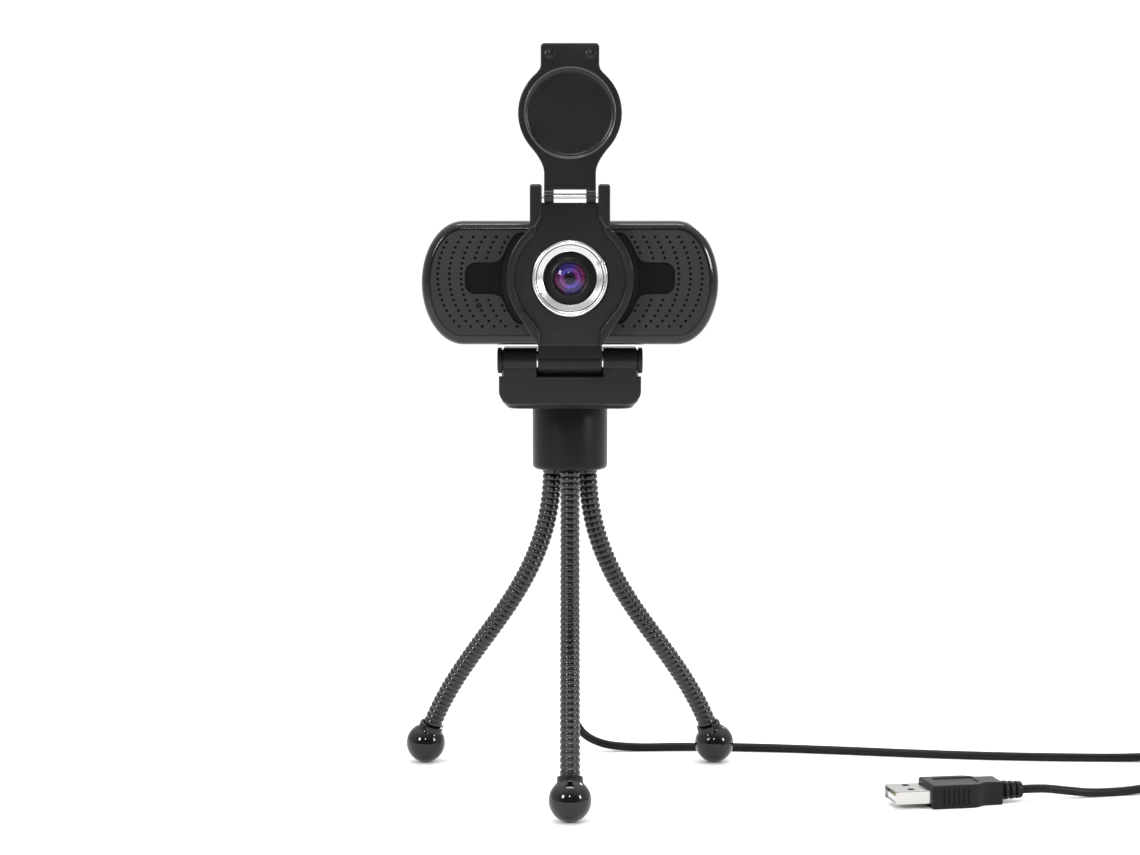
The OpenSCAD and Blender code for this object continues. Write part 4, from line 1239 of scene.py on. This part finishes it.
base_abs = moulding(
    "base ABS", (0.0088, 0.0088, 0.0093), (0.022, 0.022, 0.023), 0.36, pits=2200, depth=0.022, rub=0.6,
    marks=0.03,
)
base_block = sheet("base block", [base_plan(0)], 133.45, 144.0, 0.55, facing="z")
lugs = []
for side in (-1, 1):
    x0, x1 = sorted((side * 15.4, side * 21.0))
    lugs.append(barrel_between("lug", x0, x1, fold, 3.9, 0.25, bore=1.52))
    lugs.append(block("lug web", (x0, 38.2, 136.9), (x1, 43.0, 143.2), 0.3))
base = joined("clip_base_moulding", base_block, *lugs)
fitted(base, base_abs, "base", "clip_plastic", "clip_base")

base_pad = sheet("base_pad_sheet", [base_plan(1.7)], 144.0, 145.2, 0.35, facing="z")
fitted(base_pad, pad_rubber, "base", "pad_rubber", "base_pad")

cover_levels = [(131.0, 2.6), (131.06, 2.3), (131.35, 1.95), (132.9, 0.45), (133.15, 0.18), (133.36, 0.1)]
cover_rings = [[(x, y, z) for x, y in base_plan(inset)] for z, inset in cover_levels]
base_cover = lofted("base_bottom_cover", cover_rings)
insert_hole = turned("hole", [(0, -2), (5.05, -2), (5.05, 6), (0, 6)], (0, 15, 131), (0, 0, 1), 64)
screw_hole = [(0, -1), (2.15, -1), (2.15, 1.05), (1.2, 1.05), (1.2, 4), (0, 4)]
holes = [
    turned("hole", screw_hole, (x, 15 + y, 131), (0, 0, 1), 32) for x in (-16, 16) for y in (-16, 16)
]
evened(cut(base_cover, insert_hole, *holes))
cover_abs = moulding(
    "base cover ABS", (0.0045, 0.0045, 0.0048), (0.014, 0.014, 0.015), 0.3, pits=2000, depth=0.016,
    rub=0.5, marks=0.03,
)
fitted(base_cover, cover_abs, "base", "soft_black", "base_cover")
cross_screws(
    "base_cross_screws", [(x, 15 + y, 132.0) for x in (-16, 16) for y in (-16, 16)], (0, 0, -1),
    1.95, 0.85, 1.0, 6, zinc_steel, "base", "steel", "base_screws",
)

fold_cap_pieces = []
for side in (-1, 1):
    fold_cap_pieces.append(turned(
        "fold cap",
        [
            (1.52, 0.02), (3.8, 0.02), (3.88, 0.15), (3.9, 0.4), (3.9, 1.25), (3.8, 1.5), (3.55, 1.66),
            (3.3, 1.7), (0, 1.7), (0, 0.85), (1.52, 0.85),
        ],
        (side * 21.0, fold[1], fold[2]), (side, 0, 0), 64, joined=True,
    ))
fitted(joined("fold_end_caps", *fold_cap_pieces), cap_abs, "base", "cap_plastic", "fold_caps")


# ---- tripod ----
# A moulded hub is screwed up into the clip's brass insert. Three gooseneck legs come out of its underside,
# each a stiff wire in a ribbed black sleeve, with a ball foot moulded on its end.

stand_y = 15
hub_abs = moulding(
    "hub ABS", (0.005, 0.005, 0.0054), (0.015, 0.015, 0.016), 0.3, pits=2200, depth=0.018, rub=0.5,
    marks=0.03,
)
hub_rounding = [math.radians(12 * i) for i in range(1, 8)]
hub_profile = (
    [(10.7, 3.2), (10.7, 0.3), (10.85, 0.05), (11.1, 0.0)]
    + [(11.35 + 1.5 * math.sin(a), 1.5 - 1.5 * math.cos(a)) for a in hub_rounding]
    + [(12.85, 1.8), (12.85, 21.3), (12.78, 21.6), (12.6, 21.85), (12.3, 21.97), (3.2, 21.97)]
    + [(3.2, 19), (10.7, 19)]
)
hub = turned("tripod_hub", hub_profile, (0, stand_y, 109), (0, 0, 1), 96, joined=True)
fitted(hub, hub_abs, "base", "hub_plastic", "hub_shell")
socket_plate = moulding("socket plate", (0.008, 0.008, 0.0085), (0.03, 0.03, 0.03), 0.45, pits=2200)
painted(socket_plate, "hub_plate")
painted(metal_finish("insert brass", (0.72, 0.5, 0.2), 0.3), "thread_insert")
painted(zinc_steel, "tripod_screw", "leg_core_front", "leg_core_right", "leg_core_left")
cross_screws(
    "hub_plate_cross_screw", [(0, stand_y, 109.05)], (0, 0, -1), 2.4, 0.62, 1.3, 6, zinc_steel, "base",
    "steel", "hub_plate_screw",
)

leg_black = moulding(
    "leg black", (0.004, 0.004, 0.0043), (0.012, 0.012, 0.013), 0.1, pits=1500, depth=0.004, rub=0.4,
    marks=0.03, level=0.5,
)
foot_black = moulding(
    "foot black", (0.0022, 0.0022, 0.0024), (0.006, 0.006, 0.007), 0.06, pits=900, depth=0.003, rub=0.3,
    marks=0.03, level=0.4,
)
leg_curve = [(7.05, 109.0), (7.05, 64.0), (44.77, 46.68), (59.10, 9.33)]
leg_steps = 400
rib_pitch = 2.1


def leg_at(t):
    """The point a share of the way along a leg's curve: its distance from the hub's axis and its height."""
    weights = ((1 - t) ** 3, 3 * t * (1 - t) ** 2, 3 * t * t * (1 - t), t ** 3)
    return tuple(sum(w * p[axis] for w, p in zip(weights, leg_curve)) for axis in (0, 1))


# The three legs share one line. It starts in the hub, and its radius swells evenly at each rib
coarse = [leg_at(i / leg_steps) for i in range(leg_steps + 1)]
along = [0.0]
for p, q in zip(coarse, coarse[1:]):
    along.append(along[-1] + math.hypot(q[0] - p[0], q[1] - p[1]))
leg_line = [(7.05, 109.0 + height) for height in (3.3, 3.0, 2.2, 1.0)]
leg_radii = [0.3, 1.4, 2.5, 3.1]
rings = int(along[-1] / rib_pitch * 8)
step = 0
for i in range(rings + 1):
    want = along[-1] * i / rings
    while step < leg_steps - 1 and along[step + 1] < want:
        step += 1
    t = (step + (want - along[step]) / max(along[step + 1] - along[step], 1e-9)) / leg_steps
    leg_line.append(leg_at(t))
    leg_radii.append(2.88 + 0.5 * abs(math.sin(math.pi * want / rib_pitch)) ** 0.7)

ball_r = 7.0
ball_turns = [math.radians(6 * i) for i in range(1, 24)]
ball_profile = (
    [(0, -ball_r)] + [(ball_r * math.sin(b), -ball_r * math.cos(b)) for b in ball_turns]
    + [(4.45, 5.55), (4.3, 5.9), (4.3, 7.2), (4.2, 7.55), (3.9, 7.7), (3.42, 7.7), (3.42, 2.6), (0, 2.6)]
)

for name, turn in (("front", -90), ("right", 30), ("left", 150)):
    a = math.radians(turn)
    placed = [Vector((r * math.cos(a), stand_y + r * math.sin(a), z)) for r, z in leg_line]
    leg = swept(f"gooseneck_{name}", placed, leg_radii, 24, sharp=70)
    fitted(leg, leg_black, f"leg_{name}", "leg_black", f"leg_{name}")
    out = (placed[-1] - placed[-2]).normalized()
    centre = Vector((60 * math.cos(a), stand_y + 60 * math.sin(a), ball_r))
    foot = turned(f"ball_foot_{name}", ball_profile, centre, -out, 64)
    fitted(foot, foot_black, f"leg_{name}", "foot_black", f"foot_{name}")


# ---- coil strap ----
# A woven nylon hook-and-loop strap holds the wound spare lead.
# It wraps the turns once and its end laps over the top.

strap_x0, strap_x1, strap_low, strap_high = 235.2, 252.1, 0.55, 6.9
strap_corner = 1.6


def strap_loop(out):
    """Section of the strap round the turns, in X and Z, moved out by a distance."""
    r = strap_corner + out
    x0, x1 = strap_x0 + strap_corner, strap_x1 - strap_corner
    z0, z1 = strap_low + strap_corner, strap_high - strap_corner
    return (
        arc(x1, z1, r, 0, 90, 6) + arc(x0, z1, r, 90, 180, 6)
        + arc(x0, z0, r, 180, 270, 6) + arc(x1, z0, r, 270, 360, 6)
    )


strap = sheet("coil_strap_band", [strap_loop(0.55), strap_loop(0.0)], 17.0, 23.0, 0.12)
strap_end = block("strap end", (237.5, 17.3, 7.35), (247.5, 22.7, 7.75), 0.15, 2)
strap = joined("coil_strap", strap, strap_end)
hook_nylon = moulding(
    "hook nylon", (0.02, 0.02, 0.021), (0.05, 0.05, 0.052), 0.8, pits=1500, depth=0.15, rub=0.3,
)
fitted(strap, hook_nylon, "base", "tie_strap", "coil_tie")


# ---- USB plug ----
# A USB-A plug on the lead's end: a grained PVC overmould with a sunk panel and ribbed sides, a slotted
# strain relief, and a plated steel shell round a plastic tongue with four gold contacts.

plug_place = Matrix.Translation(Vector((151, -16, 4)) * MM) @ Matrix.Rotation(math.radians(190), 4, "Z")


def on_plug(made):
    """Moves a piece from the plug's own axes, with +X from the lead to the tip, to where the plug lies."""
    made.data.transform(plug_place)
    return made


overmould_pvc = moulding(
    "overmould PVC", (0.0065, 0.0065, 0.007), (0.035, 0.035, 0.037), 0.42, pits=1500, depth=0.06, rub=0.4,
    marks=0.03,
)
relief_profile = [(1.52, 0.0), (2.5, 0.0), (2.75, 0.15), (2.8, 0.5)]
for rib in range(3):
    start = 0.9 + 2.1 * rib
    radius = 2.9 + 0.12 * rib
    relief_profile += [
        (radius, start), (radius + 0.05, start + 1.1), (2.1, start + 1.2), (2.1, start + 1.95),
        (radius + 0.1, start + 2.05),
    ]
relief_profile += [(3.15, 7.3), (3.2, 8.0), (1.52, 8.0)]
relief = on_plug(turned("plug_strain_relief", relief_profile, (0, 0, 0), (1, 0, 0), 48, joined=True))
fitted(relief, overmould_pvc, "base", "plug_plastic", "plug_relief")

grip_half = [
    (8.02, 4.7), (13.0, 4.72), (14.4, 4.95), (15.6, 5.7), (16.8, 6.7), (18.0, 7.2), (20.0, 7.45),
    (33.3, 7.5),
]
body_outline = grip_half + [(x, -y) for x, y in reversed(grip_half)]
plug_body = sheet("plug_grip", [body_outline], -4.0, 4.0, 0.9, facing="z", fineness=5)
panel_pocket = block("pocket", (16.0, -4.4, 3.55), (30.0, 4.4, 5.0), 0.4, 2)
grooves = []
for side in (-1, 1):
    for i in range(6):
        x = 20.6 + 1.7 * i
        y0, y1 = sorted((side * 7.15, side * 8.2))
        grooves.append(block("groove", (x, y0, -2.6), (x + 0.75, y1, 2.6), 0.15, 1))
mouth = block("mouth", (25.3, -6.0, -2.25), (34.5, 6.0, 2.25), 0.1, 1)
cut(plug_body, panel_pocket, mouth, *grooves)
evened(on_plug(plug_body))
fitted(plug_body, overmould_pvc, "base", "plug_plastic", "plug_body")

shell_body = block("plug_plated_shell", (25.4, -5.98, -2.23), (45.5, 5.98, 2.23), 0.3, 2)
shell_bore = block("bore", (26.4, -5.63, -1.88), (47.0, 5.63, 1.88), 0.15, 1)
windows = [block("window", (38.1, y - 1.15, -4), (40.4, y + 1.15, 4), 0.08, 1) for y in (-3.1, 3.1)]
cut(shell_body, shell_bore, *windows)
evened(on_plug(shell_body))
nickel = metal_finish("nickel plate", (0.48, 0.47, 0.455), 0.19, brushed=0.3, grain=2400, depth=0.003)
fitted(shell_body, nickel, "base", "nickel", "plug_shell")
painted(moulding("tongue plastic", (0.72, 0.72, 0.74), (0.8, 0.8, 0.8), 0.4, pits=1800), "plug_tongue")
painted(metal_finish("contact gold", (0.85, 0.6, 0.22), 0.22), "plug_contacts")
